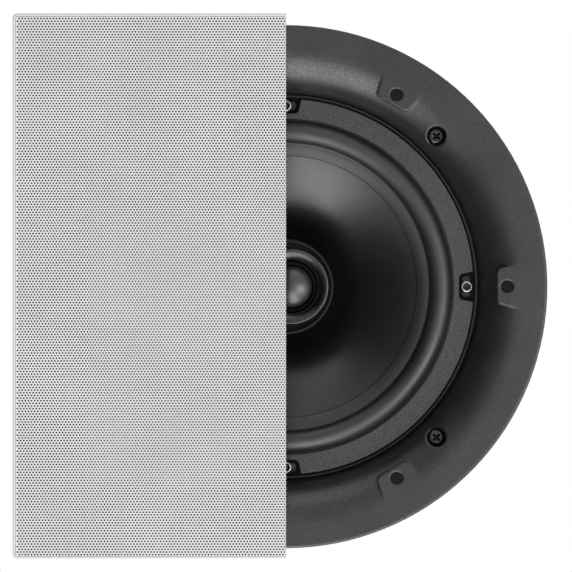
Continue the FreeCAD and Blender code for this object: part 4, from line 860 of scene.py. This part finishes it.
block_plastic = moulded_plastic("terminal_plastic", colour=(0.022, 0.022, 0.022), roughness=0.40,
                                grain=1600.0, relief=0.00004)
dress(block_plastic, "terminal_block")
leaf_finish = turned_metal("spring_steel", colour=(0.58, 0.58, 0.56), roughness=0.25, marks=1500.0,
                           relief=0.00001)
for name, (across, along) in button_places.items():
    finish_name, colour = button_colours[name]
    button_finish = moulded_plastic(finish_name, colour, roughness=0.32, grain=1400.0, relief=0.00003)
    dress(button_finish, f"terminal_button_{name}")
    bars = [(sign_half, sign_bar)] + ([(sign_bar, sign_half)] if name == "positive" else [])
    points, faces = [], []
    for wide, tall in bars:
        start = len(points)
        points += [(across + a * wide, along + sign_off + b * tall, block_top + lift)
                   for lift in (-sign_root, sign_rise) for a, b in ((-1, -1), (1, -1), (1, 1), (-1, 1))]
        faces.append((start + 4, start + 5, start + 6, start + 7))
        for i in range(4):
            after = (i + 1) % 4
            faces.append((start + i, start + after, start + 4 + after, start + 4 + i))
    sign = new_piece(f"terminal_sign_{name}", points, faces, block_plastic)
    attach(sign, "root")
    foot = [(-leaf_half, leaf_low), (leaf_half - leaf_bend, leaf_low)]
    bend = []
    for step in range(1, 7):
        turn = math.radians(25 * step)
        bend.append((leaf_half - leaf_bend + leaf_bend * math.sin(turn),
                     leaf_low + leaf_bend - leaf_bend * math.cos(turn)))
    outer_side = foot + bend + [(-leaf_half, leaf_high - leaf_sheet), (-leaf_half, leaf_high)]
    inner_side = [(x - leaf_inset, z + leaf_lift) for x, z in reversed(bend)]
    inner_side += [(x, z + leaf_sheet) for x, z in reversed(foot)]
    rim = outer_side + inner_side
    points = [(across + x, along + side, z) for side in (-leaf_half, leaf_half) for x, z in rim]
    count = len(rim)
    faces = [(i, (i + 1) % count, count + (i + 1) % count, count + i) for i in range(count)]
    leaf = new_piece(f"terminal_leaf_{name}", points, faces, leaf_finish)
    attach(leaf, "root")
    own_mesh(leaf)
    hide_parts(f"terminal_spring_{name}")

# Grille cloth: thin grey woven cloth, glued flat to the back of the grille, so nothing shows through.
# It reaches to the folded edge, and stops with the grille at the cut.
grille_half = 125.2
grille_cut = 0.1
grille_front = -5.7
grille_sheet = 0.8
grille_fold_end = -0.5
cloth_reach = grille_half - grille_sheet - 0.2
cloth_level = grille_front + grille_sheet + 0.15
columns, rows = 40, 80

cloth_finish = woven_cloth("scrim_cloth", colour=(0.15, 0.15, 0.15), roughness=0.85, threads=2200.0,
                           relief=0.00008)
points, faces = [], []
for j in range(rows + 1):
    y = -cloth_reach + 2 * cloth_reach * j / rows
    for i in range(columns + 1):
        points.append((-cloth_reach + (cloth_reach + grille_cut) * i / columns, y, cloth_level))
for j in range(rows):
    first = j * (columns + 1)
    faces += [(k, k + 1, k + columns + 2, k + columns + 1) for k in range(first, first + columns)]
cloth = new_piece("scrim_sheet", points, faces, cloth_finish)
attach(cloth, "root")
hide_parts("grille_scrim")

# Grille: one sheet of steel, punched all over with round holes in staggered rows and folded at its edges,
# with a fine crease inside the fold.
# It is powder-coated white, and sticks to the magnets of the bezel by itself.
hole_pitch = 1.4224
row_pitch = 1.2162
hole_radius = 0.475
rim_band = 1.55
corner_radius = 2.2
fold_round = 0.6
fold_edge = 0.2
crease = 0.35
crease_depth = 0.6
crease_slope = 0.03
strips = 3

grille_finish = coated_steel("grille_coat", colour=(0.63, 0.63, 0.63), roughness=0.45, peel=900.0,
                             relief=0.00003, edge=0.0001)
field_low = -grille_half + rim_band
field_high = grille_half - rim_band
half_pitch = hole_pitch / 2
corner_low = row_pitch / 3
corner_high = 2 * row_pitch / 3
row_count = int((field_high - field_low - 2 * corner_high) / row_pitch) + 1
row_first = -(row_count - 1) * row_pitch / 2
cell = [(0, -corner_high), (half_pitch, -corner_low), (half_pitch, corner_low), (0, corner_high),
        (-half_pitch, corner_low), (-half_pitch, -corner_low)]
hole = []
for corner in range(6):
    turn = math.radians(60 * corner)
    hole.append((hole_radius * math.sin(turn), -hole_radius * math.cos(turn)))


def hole_middles(row):
    """The places of the holes in a row, from the cut inwards: it goes through a hole in every other row."""
    first = grille_cut - half_pitch * (row % 2)
    count = int((first - half_pitch - field_low) / hole_pitch) + 1
    return [(first - hole_pitch * n, row_first + row_pitch * row) for n in range(count)]


def panel_strip(name, rows):
    """A strip of the punched panel: a six-sided cell of sheet round each hole, with the hole's wall."""
    points, faces = [], []

    def flat(*corners):
        """Adds a plain face of the front."""
        faces.append(tuple(range(len(points), len(points) + len(corners))))
        points.extend((x, y, grille_front) for x, y in corners)

    for row in rows:
        middles = hole_middles(row)
        level = middles[0][1]
        for x, y in middles:
            halved = x == grille_cut
            outer, ring = (cell[3:], hole[3:]) if halved else (cell, hole)
            outer = outer + cell[:1]
            ring = ring + hole[:1]
            start = len(points)
            count = len(outer)
            points += [(x + a, y + b, grille_front) for a, b in outer]
            for depth in (grille_front, grille_front + grille_sheet):
                points += [(x + a, y + b, depth) for a, b in ring]
            for n in range(start, start + count - 1):
                faces.append((n, n + 1, n + count + 1, n + count))
                faces.append((n + count, n + count + 1, n + 2 * count + 1, n + 2 * count))
            for end, limit, side in ((0, field_low, -1), (row_count - 1, field_high, 1)):
                if row == end:
                    near = y + side * corner_low
                    far = y + side * corner_high
                    flat((x - half_pitch, near), (x, far), (x, limit), (x - half_pitch, limit))
                    if not halved:
                        flat((x, far), (x + half_pitch, near), (x + half_pitch, limit), (x, limit))
        edge = middles[-1][0] - half_pitch
        low = field_low if row == 0 else level - corner_low
        high = field_high if row == row_count - 1 else level + corner_low
        flat((field_low, low), (edge, low), (edge, high), (field_low, high))
        if row + 1 < row_count:
            next_edge = hole_middles(row + 1)[-1][0] - half_pitch
            next_low = level + corner_high
            flat((field_low, high), (edge, high), (next_edge, next_low), (field_low, next_low))
    mesh = bpy.data.meshes.new(name)
    mesh.from_pydata([(x * MM, y * MM, z * MM) for x, y, z in points], [], faces)
    return set_down(name, mesh, grille_finish)


for number in range(strips):
    strip = panel_strip(f"grille_panel_{number + 1}",
                        range(row_count * number // strips, row_count * (number + 1) // strips))
    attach(strip, "root")
    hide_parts("front_grille")

corner_middle = grille_half - corner_radius
path = [((grille_cut, grille_half), (0, 1), False), ((-corner_middle, grille_half), (0, 1), False)]
for step in range(1, 8):
    turn = math.radians(90 + 90 * step / 8)
    normal = math.cos(turn), math.sin(turn)
    path.append(((-corner_middle + corner_radius * normal[0], corner_middle + corner_radius * normal[1]),
                 normal, True))
path.append(((-grille_half, corner_middle), (-1, 0), False))
path += [((x, -y), (a, -b), corner) for (x, y), (a, b), corner in reversed(path)]
crease_floor = grille_front + crease_depth
profile = [(rim_band, grille_front), (rim_band - crease_slope, crease_floor),
           (rim_band - crease + crease_slope, crease_floor), (rim_band - crease, grille_front)]
for step in range(round_steps + 1):
    turn = math.radians(90 * step / round_steps)
    profile.append((fold_round * (1 - math.sin(turn)), grille_front + fold_round * (1 - math.cos(turn))))
profile += [(0, grille_fold_end - fold_edge), (fold_edge, grille_fold_end),
            (grille_sheet - fold_edge, grille_fold_end), (grille_sheet, grille_fold_end - fold_edge),
            (grille_sheet, grille_front + grille_sheet), (rim_band, grille_front + grille_sheet)]
points = []
for (x, y), (a, b), corner in path:
    for inset, level in profile:
        if corner and inset == rim_band:
            points.append((field_low, math.copysign(field_high, y), level))
        else:
            points.append((x - a * inset, y - b * inset, level))
count = len(profile)
last = (len(path) - 1) * count
faces = []
for first in range(0, last, count):
    faces += [(k, k + 1, k + count + 1, k + count) for k in range(first, first + count - 1)]
faces += [tuple(range(count)), tuple(range(last, last + count))]
fold = new_piece("grille_fold", points, faces, grille_finish, sharp=30.0)
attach(fold, "root")
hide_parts("front_grille")

# Studio: the speaker lies face down on a pale floor that fades into white, and the camera looks up at it.
# Two large soft lights stand at one side, weaker ones beside, opposite and behind, and a dark card keeps
# the left of the cone black.
camera_reach = 2.6
camera_shift = (0.00009, -0.00028)
seen_level = -0.0045
frame_width = 0.26226
sensor_width = 36.0
floor_reach = 30.0
floor_gap = 0.0002
floor_pale = (0.86, 0.86, 0.86, 1)
fade_from = 0.3
fade_to = 1.5
card_side = -0.9
card_half = 1.1
card_low = -3.0
card_high = -0.02
felt_black = (0.01, 0.01, 0.01, 1)
dim_world = 0.28

camera = bpy.data.objects.new("camera", bpy.data.cameras.new("camera"))
camera.location = (*camera_shift, seen_level - camera_reach)
camera.rotation_euler = (math.pi, 0, 0)
camera.data.sensor_width = sensor_width
camera.data.lens = sensor_width * camera_reach / frame_width
camera.data.clip_end = 60.0
bpy.context.scene.collection.objects.link(camera)
bpy.context.scene.camera = camera


def soft_light(name, place, width, height, power, aim=(0, 0, 0)):
    """A large rectangular light that faces a point."""
    lamp = bpy.data.lights.new(name, "AREA")
    lamp.shape = "RECTANGLE"
    lamp.size = width
    lamp.size_y = height
    lamp.energy = power
    light = bpy.data.objects.new(name, lamp)
    light.location = place
    towards = tuple(b - a for a, b in zip(place, aim))
    from_up = math.atan2(math.hypot(towards[0], towards[1]), -towards[2])
    light.rotation_euler = (from_up, 0, math.atan2(towards[0], -towards[1]) + math.pi)
    bpy.context.scene.collection.objects.link(light)


def stage_piece(name, corners, material):
    """A flat four-cornered sheet with one finish, for the studio."""
    mesh = bpy.data.meshes.new(name)
    mesh.from_pydata(corners, [], [(0, 1, 2, 3)])
    sheet = set_down(name, mesh, material)
    return sheet


soft_light("key_light", (0, 5.75, -3.00), width=6.5, height=3.5, power=287.5)
soft_light("low_light", (0, 3.75, -5.00), width=5.5, height=2.75, power=206.0)
soft_light("side_light", (2.20, 0.55, -2.45), width=1.5, height=2.0, power=56.0)
soft_light("second_light", (0, -2.25, -1.20), width=2.5, height=1.5, power=11.9)
soft_light("back_light", (0.9, -0.7, 1.6), width=1.2, height=1.2, power=22.0, aim=(0, 0, 0.05))
soft_light("rear_side_light", (-1.1, 0.9, 1.2), width=1.0, height=1.0, power=12.0, aim=(0, 0, 0.05))

floor_paint, tree, shader = new_finish("floor_paint")
wash = calc(tree, "MULTIPLY_ADD", noise(tree, 0.8), 0.04, 0.98)
fill(tree, shader, {"Base Color": shaded(tree, floor_pale, wash), "Roughness": 0.9})
camera_ray = add(tree, "LightPath", {})["Is Camera Ray"]
from_above = calc(tree, "SUBTRACT", camera_ray, add(tree, "NewGeometry", {})["Backfacing"])
out = add(tree, "VectorMath", {0: spot_on(tree)}, operation="LENGTH")["Value"]
near = add(tree, "MapRange", {"Value": out, "From Min": fade_from, "From Max": fade_to, "To Min": 1.0,
                              "To Max": 0.0}, interpolation_type="SMOOTHSTEP")[0]
clear = add(tree, "BsdfTransparent", {})[0]
painted = tree.nodes["Principled BSDF"].outputs[0]
laid = add(tree, "MixShader", {0: calc(tree, "MULTIPLY", from_above, near), 1: clear, 2: painted})[0]
join(tree, laid, tree.nodes["Material Output"].inputs["Surface"])
floor_level = cad_box[0].z - floor_gap
stage_piece("floor", [(a * floor_reach, b * floor_reach, floor_level)
                      for a, b in ((-1, -1), (1, -1), (1, 1), (-1, 1))], floor_paint)

card_felt, tree, shader = new_finish("card_felt")
nap = calc(tree, "ADD", noise(tree, 300.0), 0.5)
fill(tree, shader, {"Base Color": shaded(tree, felt_black, nap), "Roughness": 1.0})
card = stage_piece("dark_card", [(card_side, -card_half, card_low), (card_side, card_half, card_low),
                                 (card_side, card_half, card_high), (card_side, -card_half, card_high)],
                   card_felt)
card.visible_camera = False

world = bpy.data.worlds.new("studio")
world.use_nodes = True
bpy.context.scene.world = world
tree = world.node_tree
ray = add(tree, "LightPath", {})
mirrored = calc(tree, "MAXIMUM", ray["Is Glossy Ray"], ray["Is Transmission Ray"])
shown = calc(tree, "MAXIMUM", ray["Is Camera Ray"], mirrored)
background = tree.nodes["Background"].inputs
background["Color"].default_value = white
join(tree, calc(tree, "MULTIPLY_ADD", shown, 1 - dim_world, dim_world), background["Strength"])
bpy.context.scene.view_settings.view_transform = "Standard"
